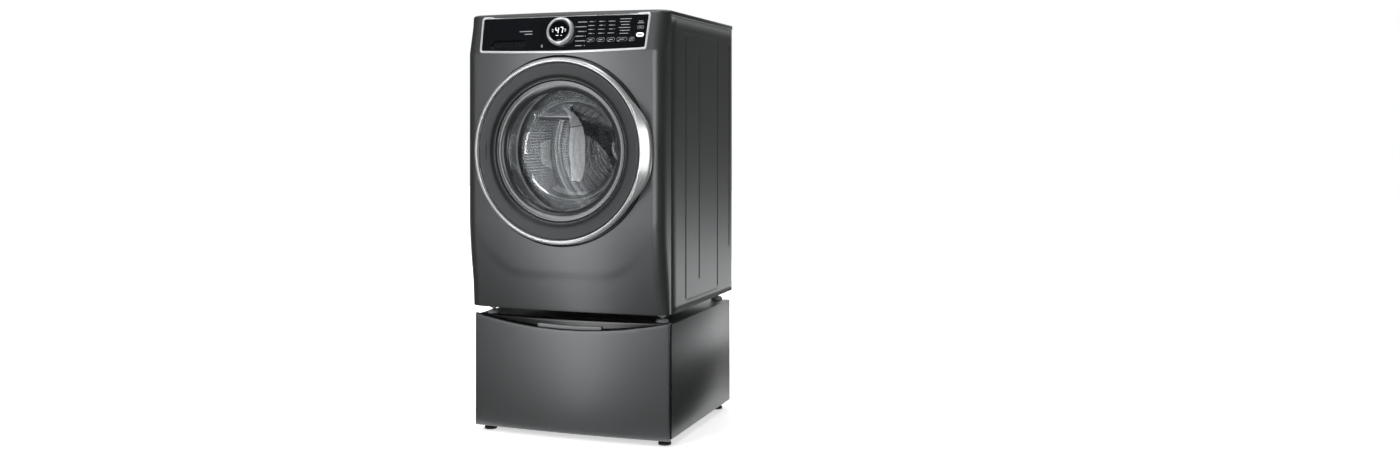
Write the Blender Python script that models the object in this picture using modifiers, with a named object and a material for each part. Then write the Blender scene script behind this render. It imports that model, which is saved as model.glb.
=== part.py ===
"""Front load washing machine standing on its matching drawer pedestal.

Metres, +Z up, the front faces -Y. The origin is on the floor under the middle of the object's box.
Run with: blender --background --python part.py
"""

import math

import bmesh
import bpy
from mathutils import Matrix, Vector

# ---- overall sizes ----
WIDTH = 0.686
DEPTH = 0.770  # from the grip's front to the rear cover's back
FRONT_Y = -0.385  # the grip's front
PEDESTAL_HEIGHT = 0.381
WASHER_HEIGHT = 0.979
FOOT_LIFT = 0.031  # washer's base above the pedestal's top
PEDESTAL_LIFT = 0.025  # pedestal's base above the floor

# ---- sheet, walls and clearances ----
SHEET = 0.0012
WALL = 0.003  # moulded pieces
PAN = 0.0015  # pressed base
SEAT_GAP = 0.0003  # between pieces that rest on each other
SLIDE_GAP = 0.0005  # between pieces that move past each other
BORE_GAP = 0.0004  # round a pin or a button

# ---- front face of the washer ----
SEAM_Y = -0.270  # where the front panel meets the side sheets
FACE_Y = -0.340  # front face beside the door, before the corners turn
FACE_BOW = 0.015  # how far the middle stands ahead of the edges
CORNER_X = 0.043
CORNER_Y = 0.040
SWEEP_DROP = 0.221  # below the door's middle the face starts to sweep back
SWEEP_BACK = 0.038
TOP_THICKNESS = 0.018
REAR_COVER_DEPTH = 0.030

# ---- console ----
CONSOLE_DROP = 0.008  # from the machine's top to the console's
CONSOLE_LEAN = 0.0295  # how far the console's top leans back
CONSOLE_HALF_BOTTOM = 0.290
CONSOLE_HALF_TOP = 0.294
CONSOLE_SAG = 0.006  # how far the lower edge dips in the middle
CONSOLE_CORNER = 0.010
TRIM_WIDTH = 0.0075
TRIM_PROUD = 0.003
FASCIA_THICKNESS = 0.005
DRAWER_FRONT_THICKNESS = 0.012
DRAWER_SPLIT_X = -0.068  # right-hand edge of the dispenser's front
DIAL_X = 0.000
DIAL_RADIUS = 0.046
DIAL_BAND = 0.010  # width of the turning ring
DIAL_PROUD = 0.018
DIAL_HEADROOM = 0.0105  # from the dial up to the console's edge
DIAL_FOOTROOM = 0.0155  # from the dial down to the console's edge
BOARD_Y = -0.312
BUTTON_PROUD = 0.0012
BUTTON_DEPTH = 0.009
BUTTON_ROW = 0.0335  # from the console's lower edge up to the row of option buttons
# name, middle x, middle height above that row, width, height
BUTTONS = (
    ("button_temperature", 0.1040, 0.0, 0.0285, 0.014),
    ("button_spin", 0.1375, 0.0, 0.0285, 0.014),
    ("button_soil", 0.1710, 0.0, 0.0285, 0.014),
    ("button_options", 0.2070, 0.0, 0.0360, 0.014),
    ("button_delay", 0.2390, 0.0, 0.0200, 0.014),
    ("button_power", 0.2640, 0.0365, 0.0240, 0.012),
    ("button_start", 0.2640, 0.0135, 0.0240, 0.013),
)

# ---- door ----
TRIM_RADIUS = 0.293  # the bright ring, away from its grip
TRIM_BAND = 0.0185  # width of the ring
FRAME_BAND = 0.0505  # width of the dark frame inside it
RECESS_ROOM = 0.0082  # between the ring and the panel round it
HOLE_ROOM = 0.008  # the panel's hole beyond the window
DOOR_DROP = 0.0058  # least distance from the console's lowest edge to the recess
LANDING_Y = -0.338  # flat recess that the door closes against
DOOR_BACK_Y = -0.3465
HANDLE_REACH = 0.0255  # how far the grip widens the ring
HANDLE_PROUD = 0.009
HANDLE_HALF_DEG = 10.0
HANDLE_BLEND_DEG = 28.0
HINGE_INSET = 0.016  # hinge axis inside the ring's edge
HINGE_Y = -0.364
HINGE_HALF_HEIGHT = 0.045
PIN_RADIUS = 0.003
PIN_HALF_LENGTH = 0.060
KNUCKLE_RADIUS = 0.0055
LOCK_INSET = 0.027  # the striker's middle inside the frame's edge
STRIKER_THICKNESS = 0.004

# ---- tub, drum and drive ----
DRUM_RADIUS = 0.272
DRUM_FRONT_Y = -0.205
DRUM_BACK_Y = 0.185
DRUM_WALL = 0.0012
TUB_ROOM = 0.028  # between the drum and the tub round it
TUB_DROP = 0.013  # least distance from the console's ends down to the tub
TUB_FRONT_Y = -0.232
TUB_NECK_Y = -0.248
TUB_BACK_Y = 0.215
TUB_WALL = 0.004
GASKET_REACH = 0.019  # the tub's mouth inside the panel's hole
MOUTH_ROOM = 0.013  # the drum's mouth inside the tub's
LIFTER_HEIGHT = 0.058
LIFTER_HALF_BASE = 0.036
LIFTER_ANGLES = (-90.0, 30.0, 150.0)
SHAFT_RADIUS = 0.015
BEARING_RADIUS = 0.034
BEARING_FRONT_Y = 0.2085
BEARING_BACK_Y = 0.2440
PULLEY_Y = 0.292
PULLEY_RADIUS = 0.150
MOTOR_X = 0.090
MOTOR_DROP = 0.388  # motor's axis below the drum's
MOTOR_RADIUS = 0.065
MOTOR_PULLEY_RADIUS = 0.018
BELT_WIDTH = 0.014
BELT_THICKNESS = 0.003
DAMPER_INSET = 0.100  # dampers' axes inside the tub's side
DAMPER_Y = 0.060
DAMPER_HEIGHT = 0.1612
SPRING_INSET = 0.050  # springs' axes inside the tub's side
SPRING_Y = 0.050
SPRING_RADIUS = 0.011
SPRING_TURNS = 6
BRACE_DROP = 0.070  # the springs' brace below the machine's top
LUG_LENGTH = 0.018  # the tub's lugs beyond its wall
PUMP_X = -0.150
PUMP_RADIUS = 0.036

# ---- pedestal ----
PEDESTAL_FRONT_Y = -0.264  # front of its cabinet, behind the drawer's panel
PEDESTAL_SETBACK = 0.063  # its back ahead of the rear cover's
DRAWER_EDGE_Y = -0.280
DRAWER_BOW = 0.012
DRAWER_RISE = 0.006  # the drawer's corners above the pedestal's top
DRAWER_LOW_Z = 0.020
DRAWER_DIP = 0.037
DRAWER_WALL = 0.003
GRIP_DEPTH = 0.065  # finger pocket's floor below the drawer's corners
GRIP_HALF_WIDTH = 0.105
BIN_SIDE_ROOM = 0.043  # between the bin and the pedestal's side
BIN_BOTTOM_Z = 0.055
BIN_HEADROOM = 0.081
BIN_BACK_ROOM = 0.052
RAIL_TOP_Z = 0.190

# ---- worked out from the sizes above ----
HALF_WIDTH = WIDTH / 2
INNER_HALF = HALF_WIDTH - SHEET
HEIGHT = PEDESTAL_HEIGHT + WASHER_HEIGHT
BACK_Y = FRONT_Y + DEPTH
BODY_BOTTOM_Z = PEDESTAL_HEIGHT + FOOT_LIFT
WRAP_TOP_Z = HEIGHT - TOP_THICKNESS - SEAT_GAP
WRAP_BACK_Y = BACK_Y - REAR_COVER_DEPTH
CONSOLE_TOP_Z = HEIGHT - CONSOLE_DROP
DIAL_Z = CONSOLE_TOP_Z - DIAL_HEADROOM - DIAL_RADIUS
DIAL_BORE = DIAL_RADIUS - DIAL_BAND
CONSOLE_BOTTOM_Z = DIAL_Z - DIAL_RADIUS - DIAL_FOOTROOM
LEAN_ANGLE = math.atan2(CONSOLE_LEAN, CONSOLE_TOP_Z - CONSOLE_BOTTOM_Z)
DOOR_RECESS_RADIUS = TRIM_RADIUS + RECESS_ROOM
TRIM_FRONT_Y = FRONT_Y + HANDLE_PROUD
HANDLE_RADIUS = TRIM_RADIUS + HANDLE_REACH
FRAME_RADIUS = TRIM_RADIUS - TRIM_BAND
WINDOW_RADIUS = FRAME_RADIUS - FRAME_BAND
DOOR_HOLE_RADIUS = WINDOW_RADIUS + HOLE_ROOM
HINGE_X = HINGE_INSET - TRIM_RADIUS
STRIKER_X = FRAME_RADIUS - LOCK_INSET - STRIKER_THICKNESS / 2
TUB_MOUTH_RADIUS = DOOR_HOLE_RADIUS - GASKET_REACH
DRUM_MOUTH_RADIUS = TUB_MOUTH_RADIUS - MOUTH_ROOM
TUB_RADIUS = DRUM_RADIUS + TUB_ROOM
AXIS_Z = CONSOLE_BOTTOM_Z - max(CONSOLE_SAG + DOOR_DROP + DOOR_RECESS_RADIUS, TUB_DROP + TUB_RADIUS)
DOOR_Z = AXIS_Z
SWEEP_START_Z = DOOR_Z - SWEEP_DROP
DAMPER_X = TUB_RADIUS - DAMPER_INSET
SPRING_X = TUB_RADIUS - SPRING_INSET
TUB_TOP_Z = AXIS_Z + math.sqrt(TUB_RADIUS**2 - SPRING_X**2)  # where a spring's lug stands
TUB_LOW_Z = AXIS_Z - math.sqrt(TUB_RADIUS**2 - DAMPER_X**2)  # where a damper's lug hangs
BRACE_Z = HEIGHT - BRACE_DROP
MOTOR_Z = AXIS_Z - MOTOR_DROP
PAN_TOP_Z = BODY_BOTTOM_Z + PAN + SEAT_GAP
PEDESTAL_BACK_Y = BACK_Y - PEDESTAL_SETBACK
DRAWER_CORNER_Z = PEDESTAL_HEIGHT + DRAWER_RISE
GRIP_FLOOR_Z = DRAWER_CORNER_Z - GRIP_DEPTH
BIN_HALF_WIDTH = HALF_WIDTH - BIN_SIDE_ROOM
BIN_TOP_Z = PEDESTAL_HEIGHT - BIN_HEADROOM
BIN_BACK_Y = PEDESTAL_BACK_Y - BIN_BACK_ROOM


# ---------------------------------------------------------------- scene and materials
def clear_scene():
    for item in list(bpy.data.objects):
        bpy.data.objects.remove(item, do_unlink=True)


def new_collection(name):
    made = bpy.data.collections.new(name)
    bpy.context.scene.collection.children.link(made)
    return made


def material(name, colour, roughness, metallic=0.0, alpha=1.0):
    made = bpy.data.materials.new(name)
    made.use_nodes = True
    shader = made.node_tree.nodes["Principled BSDF"]
    shader.inputs["Base Color"].default_value = (*colour, 1.0)
    shader.inputs["Roughness"].default_value = roughness
    shader.inputs["Metallic"].default_value = metallic
    shader.inputs["Alpha"].default_value = alpha
    made.diffuse_color = (*colour, alpha)
    return made


def place(mesh, name, finish, collection=None):
    """Links a mesh as a named object with its material."""
    made = bpy.data.objects.new(name, mesh)
    (collection or parts).objects.link(made)
    if finish:
        mesh.materials.append(finish)
    return made


def from_bmesh(shape, name, finish, collection=None, smooth_deg=None):
    bmesh.ops.recalc_face_normals(shape, faces=shape.faces)
    if shape.calc_volume(signed=True) < 0:
        bmesh.ops.reverse_faces(shape, faces=shape.faces)
    mesh = bpy.data.meshes.new(name)
    shape.to_mesh(mesh)
    shape.free()
    if smooth_deg:
        mesh.shade_smooth()
        mesh.set_sharp_from_angle(angle=math.radians(smooth_deg))
    return place(mesh, name, finish, collection)


# ---------------------------------------------------------------- shapes
def box(name, low, high, finish=None, collection=None):
    """A box between two corners."""
    low, high = Vector(low), Vector(high)
    shape = bmesh.new()
    bmesh.ops.create_cube(shape, size=1.0)
    bmesh.ops.scale(shape, vec=high - low, verts=shape.verts)
    bmesh.ops.translate(shape, vec=(low + high) / 2, verts=shape.verts)
    return from_bmesh(shape, name, finish, collection)


def cylinder(name, start, end, radius, finish=None, collection=None, sides=32, end_radius=None):
    """A cylinder, or a cone, from one point to another."""
    start, end = Vector(start), Vector(end)
    along = end - start
    shape = bmesh.new()
    bmesh.ops.create_cone(
        shape, cap_ends=True, segments=sides, radius1=radius,
        radius2=radius if end_radius is None else end_radius, depth=along.length,
    )
    turn = along.to_track_quat("Z", "Y").to_matrix().to_4x4()
    bmesh.ops.transform(shape, matrix=Matrix.Translation((start + end) / 2) @ turn, verts=shape.verts)
    return from_bmesh(shape, name, finish, collection, smooth_deg=35)


def signed_area(points):
    return sum(a[0] * b[1] - b[0] * a[1] for a, b in zip(points, points[1:] + points[:1])) / 2


def turned(name, profile, centre, finish=None, axis="Y", steps=48, collection=None):
    """A profile of (radius, height along the axis) turned about an axis through centre.

    A profile that starts and ends on the axis makes a closed round body, any other is joined into a ring.
    """
    points = list(profile)
    if signed_area(points) > 0:  # it has to run down its outer side
        points.reverse()
    ring = not (points[0][0] < 1e-6 and points[-1][0] < 1e-6)
    if axis == "Y":
        corners = [(r, h, 0.0) for r, h in points]
    else:
        corners = [(r, 0.0, h) for r, h in points]
    count = len(corners)
    edges = [(i, (i + 1) % count) for i in range(count if ring else count - 1)]
    mesh = bpy.data.meshes.new(name)
    mesh.from_pydata(corners, edges, [])
    made = place(mesh, name, finish, collection)
    made.location = centre
    screw = made.modifiers.new("Turn", "SCREW")
    screw.axis = axis
    screw.steps = screw.render_steps = steps
    screw.use_merge_vertices = True
    screw.merge_threshold = 0.0001
    screw.use_smooth_shade = True
    return made


def prism(name, outline, y_start, y_end, finish=None, collection=None):
    """An outline of (x, z) points pulled straight along Y."""
    shape = bmesh.new()
    points = list(outline)
    if signed_area(points) < 0:
        points.reverse()
    face = shape.faces.new([shape.verts.new((x, y_start, z)) for x, z in points])
    pulled = bmesh.ops.extrude_face_region(shape, geom=[face])["geom"]
    moved = [item for item in pulled if isinstance(item, bmesh.types.BMVert)]
    bmesh.ops.translate(shape, vec=(0, y_end - y_start, 0), verts=moved)
    return from_bmesh(shape, name, finish, collection)


def loft(name, sections, finish=None, collection=None, ring=True):
    """Skin through equal sections, each a list of points; a ring joins its last section to its first."""
    shape = bmesh.new()
    rows = [[shape.verts.new(p) for p in section] for section in sections]
    pairs = list(zip(rows, rows[1:] + rows[:1])) if ring else list(zip(rows, rows[1:]))
    for a, b in pairs:
        for i in range(len(a)):
            j = (i + 1) % len(a)
            shape.faces.new((a[i], a[j], b[j], b[i]))
    if not ring:
        shape.faces.new(rows[0])
        shape.faces.new(rows[-1])
    return from_bmesh(shape, name, finish, collection, smooth_deg=40)


def tube(name, points, radius, finish, resolution=2):
    """A round bar through points."""
    curve = bpy.data.curves.new(name, "CURVE")
    curve.dimensions = "3D"
    curve.bevel_depth = radius
    curve.bevel_resolution = resolution
    curve.use_fill_caps = True
    line = curve.splines.new("POLY")
    line.points.add(len(points) - 1)
    for slot, point in zip(line.points, points):
        slot.co = (*point, 1.0)
    made = bpy.data.objects.new(name, curve)
    curve.materials.append(finish)
    parts.objects.link(made)
    return made


def combine(target, tool, operation):
    """A Boolean on target, with the tool kept as a hidden helper."""
    for holder in list(tool.users_collection):
        holder.objects.unlink(tool)
    helpers.objects.link(tool)
    tool.hide_render = True
    tool.display_type = "WIRE"
    modifier = target.modifiers.new(tool.name, "BOOLEAN")
    modifier.operation = operation
    modifier.object = tool
    modifier.solver = "EXACT"


def cut(target, *tools):
    for tool in tools:
        combine(target, tool, "DIFFERENCE")


def join(target, *tools):
    for tool in tools:
        combine(target, tool, "UNION")


def keep(target, *tools):
    for tool in tools:
        combine(target, tool, "INTERSECT")


def bevel(target, width, segments=2, angle_deg=40):
    modifier = target.modifiers.new("Round", "BEVEL")
    modifier.width = width
    modifier.segments = segments
    modifier.limit_method = "ANGLE"
    modifier.angle_limit = math.radians(angle_deg)


# ---------------------------------------------------------------- outlines
def rounded_outline(corners, radius, steps=4):
    """Corners of a polygon, each turned into an arc."""
    made = []
    count = len(corners)
    for i, corner in enumerate(corners):
        here = Vector(corner)
        before = (Vector(corners[i - 1]) - here).normalized()
        after = (Vector(corners[(i + 1) % count]) - here).normalized()
        half = before.angle(after) / 2
        centre = here + (before + after).normalized() * (radius / math.sin(half))
        start = here + before * (radius / math.tan(half)) - centre
        end = here + after * (radius / math.tan(half)) - centre
        for step in range(steps + 1):
            mixed = start.slerp(end, step / steps).normalized() * radius
            made.append(tuple(centre + mixed))
    return made


def console_outline(inset):
    """The console's shape seen from the front, drawn in by an inset: a trapezium with a sagging lower edge."""
    low, high = CONSOLE_BOTTOM_Z + inset, CONSOLE_TOP_Z - inset
    half_low, half_high = CONSOLE_HALF_BOTTOM - inset, CONSOLE_HALF_TOP - inset
    corners = [(-half_low, low), (half_low, low), (half_high, high), (-half_high, high)]
    outline = rounded_outline(corners, max(0.002, CONSOLE_CORNER - inset))
    first = next(i for i, p in enumerate(outline) if p[0] > 0)
    span = half_low - CONSOLE_CORNER
    steps = 10
    sag = []
    for step in range(1, steps):
        x = -span + 2 * span * step / steps
        sag.append((x, low - CONSOLE_SAG * (1 - (x / span) ** 2)))
    return outline[:first] + sag + outline[first:]


def slot_outline(x, z, width, height, steps=3):
    """A rounded rectangle about a middle point."""
    half_w, half_h = width / 2, height / 2
    corners = [(x - half_w, z - half_h), (x + half_w, z - half_h), (x + half_w, z + half_h),
               (x - half_w, z + half_h)]
    return rounded_outline(corners, 0.42 * height, steps)


# ---------------------------------------------------------------- the bowed front face
def face_profile(z):
    """Y of the front face's edge line at a height: swept back below the door, leaning back at the console."""
    if z < SWEEP_START_Z:
        share = (SWEEP_START_Z - max(z, BODY_BOTTOM_Z)) / (SWEEP_START_Z - BODY_BOTTOM_Z)
        return FACE_Y + SWEEP_BACK * share**1.5
    if z > CONSOLE_BOTTOM_Z:
        return FACE_Y + CONSOLE_LEAN * (z - CONSOLE_BOTTOM_Z) / (CONSOLE_TOP_Z - CONSOLE_BOTTOM_Z)
    return FACE_Y


def face_point(x, z):
    """Y of the front face at a place inside the corners."""
    straight = HALF_WIDTH - CORNER_X
    return face_profile(z) - FACE_BOW * (1 - (x / straight) ** 2)


def face_section(z, inset):
    """The front panel's plan at one height, from the left seam round to the right one.

    A section that is drawn in runs on past the seam, so that it opens the panel's back.
    """
    straight = HALF_WIDTH - CORNER_X
    turn_back = min(CORNER_Y, SEAM_Y - SEAT_GAP - 0.008 - face_profile(z))
    plan = []
    for step in range(5):
        x = straight * step / 4
        plan.append((x, face_point(x, z) + inset))
    for step in range(1, 5):
        turn = math.radians(90 * step / 4)
        plan.append((
            straight + (CORNER_X - inset) * math.sin(turn),
            face_profile(z) + inset + (turn_back - inset) * (1 - math.cos(turn)),
        ))
    plan.append((HALF_WIDTH - inset, SEAM_Y + (0.02 if inset else -SEAT_GAP)))
    left = [(-x, y) for x, y in plan[:0:-1]]
    return [(x, y, z) for x, y in left + plan]


def face_heights(bottom, top):
    sweep = [BODY_BOTTOM_Z + rise for rise in (0.0, 0.068, 0.148, 0.218)]
    inside = sweep + [SWEEP_START_Z, DOOR_Z + 0.099, CONSOLE_BOTTOM_Z, CONSOLE_TOP_Z - 0.045]
    return [bottom] + [z for z in inside if bottom < z < top - 0.02] + [top]


def face_block(name, inset, bottom, top, round_top, collection):
    """A solid filling the front panel's outer shape, drawn in by an inset."""
    sections = [face_section(z, inset) for z in face_heights(bottom, top - round_top)]
    for step in range(1, 4):  # roll the top edge back
        turn = math.radians(90 * step / 3)
        z = top - round_top + round_top * math.sin(turn)
        back = round_top * (1 - math.cos(turn))
        rolled = []
        for x, y, _ in face_section(z, inset):
            pull = 1 - back / HALF_WIDTH if abs(x) > HALF_WIDTH - CORNER_X else 1
            rolled.append((x * pull, y if y > SEAM_Y - 0.001 else y + back, z))
        sections.append(rolled)
    return loft(name, sections, collection=collection, ring=False)


def face_slab(name, front, back, x_low, x_high, finish=None, collection=None):
    """A curved plate over the console: between two offsets from the face, positive into the machine."""
    columns = 8
    z_low, z_high = CONSOLE_BOTTOM_Z - CONSOLE_SAG - 0.012, CONSOLE_TOP_Z + 0.006
    sections = []
    for step in range(columns + 1):
        x = x_low + (x_high - x_low) * step / columns
        sections.append([
            (x, console_y(x, z) + offset, z)
            for offset, z in ((front, z_low), (front, z_high), (back, z_high), (back, z_low))
        ])
    return loft(name, sections, finish, collection, ring=False)


def console_y(x, z):
    """Y of the console's leaning plane, carried on straight above and below its own edges."""
    lean = CONSOLE_LEAN * (z - CONSOLE_BOTTOM_Z) / (CONSOLE_TOP_Z - CONSOLE_BOTTOM_Z)
    straight = HALF_WIDTH - CORNER_X
    return FACE_Y + lean - FACE_BOW * (1 - (x / straight) ** 2)


# ---------------------------------------------------------------- washer cabinet
def build_front_panel():
    panel = face_block("front_panel", 0.0, BODY_BOTTOM_Z, HEIGHT, 0.006, parts)
    panel.data.materials.append(titanium)
    inner = face_block("panel_inside", SHEET, BODY_BOTTOM_Z - 0.02, HEIGHT - SHEET, 0.005, helpers)
    recess = cylinder("door_recess", (0, -0.5, DOOR_Z), (0, LANDING_Y, DOOR_Z), DOOR_RECESS_RADIUS, sides=56)
    # the wall behind the recess follows it, so the inside is cut short there
    keep_landing = cylinder("landing_back", (0, -0.5, DOOR_Z), (0, LANDING_Y + SHEET, DOOR_Z),
                            DOOR_RECESS_RADIUS + SHEET, sides=56)
    cut(inner, keep_landing)
    hole = cylinder("door_hole", (0, -0.5, DOOR_Z), (0, SEAM_Y, DOOR_Z), DOOR_HOLE_RADIUS, sides=48)
    cut(panel, recess, inner, hole)
    window = prism("console_hole", console_outline(TRIM_WIDTH * 0.55), -0.5, SEAM_Y - 0.004)
    cut(panel, window)
    slot = box("striker_slot", (STRIKER_X - 0.0055, LANDING_Y - 0.01, DOOR_Z - 0.014),
               (STRIKER_X + 0.0105, LANDING_Y + 0.01, DOOR_Z + 0.014))
    cut(panel, slot)
    return panel


def build_cabinet():
    wrap = box("cabinet_wrap", (-HALF_WIDTH, SEAM_Y, BODY_BOTTOM_Z),
               (HALF_WIDTH, WRAP_BACK_Y, WRAP_TOP_Z), titanium)
    inside = box("wrap_inside", (-INNER_HALF, SEAM_Y - 0.01, BODY_BOTTOM_Z - 0.01),
                 (INNER_HALF, WRAP_BACK_Y - SHEET, WRAP_TOP_Z + 0.01))
    low, high, side = BODY_BOTTOM_Z + 0.088, HEIGHT - 0.160, 0.215  # service opening in the back
    access = box("access_hole", (-side, WRAP_BACK_Y - 0.01, low), (side, WRAP_BACK_Y + 0.01, high))
    brace = box("spring_brace", (-INNER_HALF - 0.0005, SPRING_Y - 0.020, BRACE_Z),
                (INNER_HALF + 0.0005, SPRING_Y + 0.020, BRACE_Z + 0.012))
    cut(wrap, inside, access)
    join(wrap, brace)

    lap, rim = 0.020, 0.0035  # the cover overlaps the opening, and its own wall at the sides
    rear = box("rear_cover", (-side - lap, WRAP_BACK_Y + SEAT_GAP, low - lap),
               (side + lap, BACK_Y, high + lap), galvanised)
    hollow = box("rear_hollow", (rim - side - lap, WRAP_BACK_Y - 0.01, low - lap + rim),
                 (side + lap - rim, BACK_Y - WALL, high + lap - rim))
    bevel(rear, 0.003, 1, 60)
    cut(rear, hollow)

    top = box("top_cover", (-HALF_WIDTH, SEAM_Y, HEIGHT - TOP_THICKNESS),
              (HALF_WIDTH, WRAP_BACK_Y + 0.004, HEIGHT), titanium)
    bevel(top, 0.005, 2, 60)
    under = box("top_hollow", (-HALF_WIDTH + 0.0035, SEAM_Y + 0.0035, HEIGHT - TOP_THICKNESS - 0.01),
                (HALF_WIDTH - 0.0035, WRAP_BACK_Y + 0.0005, HEIGHT - 0.0020))
    cut(top, under)

    side, front, back = INNER_HALF - SEAT_GAP, SEAM_Y + 0.002, WRAP_BACK_Y - SHEET - SEAT_GAP
    base = box("base_pan", (-side, front, BODY_BOTTOM_Z), (side, back, BODY_BOTTOM_Z + 0.030), galvanised)
    basin = box("base_basin", (-side + PAN, front + PAN, BODY_BOTTOM_Z + PAN),
                (side - PAN, back - PAN, BODY_BOTTOM_Z + 0.05))
    cut(base, basin)
    return wrap


def foot_places(front_y, back_y, inset):
    side = HALF_WIDTH - inset
    return [(-side, front_y), (side, front_y), (-side, back_y), (side, back_y)]


def build_feet():
    """Levelling feet: a rubber-shod pad, its stem and the lock nut under the base."""
    top = BODY_BOTTOM_Z - SEAT_GAP
    low = PEDESTAL_HEIGHT + SEAT_GAP
    profile = [(0, low), (0.020, low), (0.019, low + 0.009), (0.0065, low + 0.012), (0.0065, low + 0.018),
               (0.013, low + 0.019), (0.013, top), (0, top)]
    for count, (x, y) in enumerate(foot_places(SEAM_Y + 0.040, WRAP_BACK_Y - 0.045, 0.045), 1):
        turned(f"washer_foot_{count}", profile, (x, y, 0), grey_plastic, axis="Z", steps=14)
    top = PEDESTAL_LIFT - SEAT_GAP
    profile = [(0, 0), (0.021, 0), (0.020, 0.008), (0.0075, 0.011), (0.0075, 0.016), (0.015, 0.017),
               (0.015, top), (0, top)]
    for count, (x, y) in enumerate(foot_places(PEDESTAL_FRONT_Y + 0.030, PEDESTAL_BACK_Y - 0.045, 0.035), 1):
        turned(f"pedestal_foot_{count}", profile, (x, y, 0), black_plastic, axis="Z", steps=14)


# ---------------------------------------------------------------- console
def build_console():
    reach = HALF_WIDTH - 0.033  # past the console's ends
    trim = prism("console_trim", console_outline(0.0), -0.45, -0.25, chrome)
    keep(trim, face_slab("trim_slab", -TRIM_PROUD, -SEAT_GAP, -reach, reach))
    cut(trim, prism("trim_inside", console_outline(TRIM_WIDTH), -0.46, -0.24))

    fit = TRIM_WIDTH + SLIDE_GAP
    fascia = prism("console_fascia", console_outline(fit), -0.45, -0.25, gloss_black)
    keep(fascia, face_slab("fascia_slab", -0.0005, FASCIA_THICKNESS, -reach, reach))
    cut(fascia, box("drawer_side", (-0.5, -0.5, DOOR_Z), (DRAWER_SPLIT_X + SLIDE_GAP, 0, HEIGHT + 0.1)))
    stem = DIAL_BORE - 0.0065
    row = CONSOLE_BOTTOM_Z + BUTTON_ROW
    socket_centre = Vector((DIAL_X, console_y(DIAL_X, DIAL_Z), DIAL_Z))
    normal = Vector((0, -math.cos(LEAN_ANGLE), math.sin(LEAN_ANGLE)))
    cut(fascia, cylinder("dial_socket", socket_centre - normal * 0.03, socket_centre + normal * 0.03,
                         stem + SLIDE_GAP, sides=32))
    for name, x, rise, width, height in BUTTONS:
        hole = slot_outline(x, row + rise, width + 2 * BORE_GAP, height + 2 * BORE_GAP)
        cut(fascia, prism(f"{name}_hole", hole, -0.5, -0.2))

    # the display stands still in the middle of the turning ring
    tilt = Matrix.Rotation(-LEAN_ANGLE, 4, "X")
    display = turned(
        "dial_display",
        [(0, -DIAL_PROUD + 0.002), (DIAL_BORE - 0.001, -DIAL_PROUD + 0.002), (DIAL_BORE - 0.001, -0.004),
         (stem, -0.004), (stem, FASCIA_THICKNESS + 0.004), (0, FASCIA_THICKNESS + 0.004)],
        socket_centre, black_glass, steps=32)
    ring = turned(
        "dial_ring",
        [(DIAL_BORE - 0.0005, -DIAL_PROUD + 0.0015), (DIAL_BORE + 0.002, -DIAL_PROUD),
         (DIAL_RADIUS - 0.004, -DIAL_PROUD + 0.001), (DIAL_RADIUS, -0.0022), (DIAL_BORE - 0.0005, -0.0022)],
        socket_centre, aluminium, steps=40)
    for piece in (display, ring):
        piece.rotation_euler = tilt.to_euler()

    for name, x, rise, width, height in BUTTONS:
        finish = white_plastic if name == "button_start" else gloss_black
        button = prism(name, slot_outline(x, row + rise, width, height), -0.45, -0.25, finish)
        keep(button, face_slab(f"{name}_slab", -BUTTON_PROUD, BUTTON_DEPTH, x - 0.03, x + 0.03))

    low = CONSOLE_BOTTOM_Z + 0.013
    box("control_board", (DRAWER_SPLIT_X + 0.020, BOARD_Y, low),
        (0.2750, BOARD_Y + 0.0120, low + 0.065), black_plastic)
    post = low + 0.048  # carries the board behind the fascia
    join(fascia, box("board_post", (stem + 0.0155, FACE_Y + 0.0035, post),
                     (stem + 0.0235, BOARD_Y - SEAT_GAP, post + 0.008)))


def build_dispenser():
    fit = TRIM_WIDTH + SLIDE_GAP
    reach = HALF_WIDTH - 0.033
    front = prism("dispenser_front", console_outline(fit), -0.45, -0.25, gloss_black)
    keep(front, face_slab("drawer_front_slab", -0.0005, DRAWER_FRONT_THICKNESS, -reach, reach))
    cut(front, box("fascia_side", (DRAWER_SPLIT_X - SLIDE_GAP, -0.5, DOOR_Z), (0.5, 0, HEIGHT + 0.1)))
    # finger pocket along the lower edge
    pocket = prism("drawer_pocket", slot_outline(-0.185, CONSOLE_BOTTOM_Z + 0.0255, 0.130, 0.026), -0.5, -0.2)
    keep(pocket, face_slab("pocket_depth", -0.02, DRAWER_FRONT_THICKNESS - 0.0025, -reach, reach))
    cut(front, pocket)

    left, right = 0.018 - CONSOLE_HALF_BOTTOM, DRAWER_SPLIT_X - 0.012
    low, high = CONSOLE_BOTTOM_Z + 0.014, CONSOLE_BOTTOM_Z + 0.062
    back = -0.060
    tray = box("dispenser_tray", (left, FACE_Y - 0.005, low), (right, back, high), grey_plastic)
    walls = 0.002
    bays = 3
    bay = (right - left - walls * (bays + 1)) / bays
    for count in range(bays):
        x = left + walls + count * (bay + walls)
        cut(tray, box(f"tray_bay_{count + 1}", (x, FACE_Y + 0.0275, low + walls),
                      (x + bay, back - walls, high + 0.01)))
    cut(tray, face_slab("tray_fit", -0.1, DRAWER_FRONT_THICKNESS + SEAT_GAP, -reach, reach))

    gap = SLIDE_GAP
    shell = box("dispenser_housing", (left - gap - WALL, -0.300, low - gap - WALL),
                (right + gap + WALL, back + 0.030, high + 0.022), white_plastic)
    cavity = box("housing_cavity", (left - gap, -0.32, low - gap), (right + gap, back + 0.027, high + 0.019))
    cut(shell, cavity)
    hanger = box("housing_hanger", (-INNER_HALF + SEAT_GAP, -0.20, high + 0.006),
                 (left - 0.001, -0.06, high + 0.012))
    join(shell, hanger)


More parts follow.
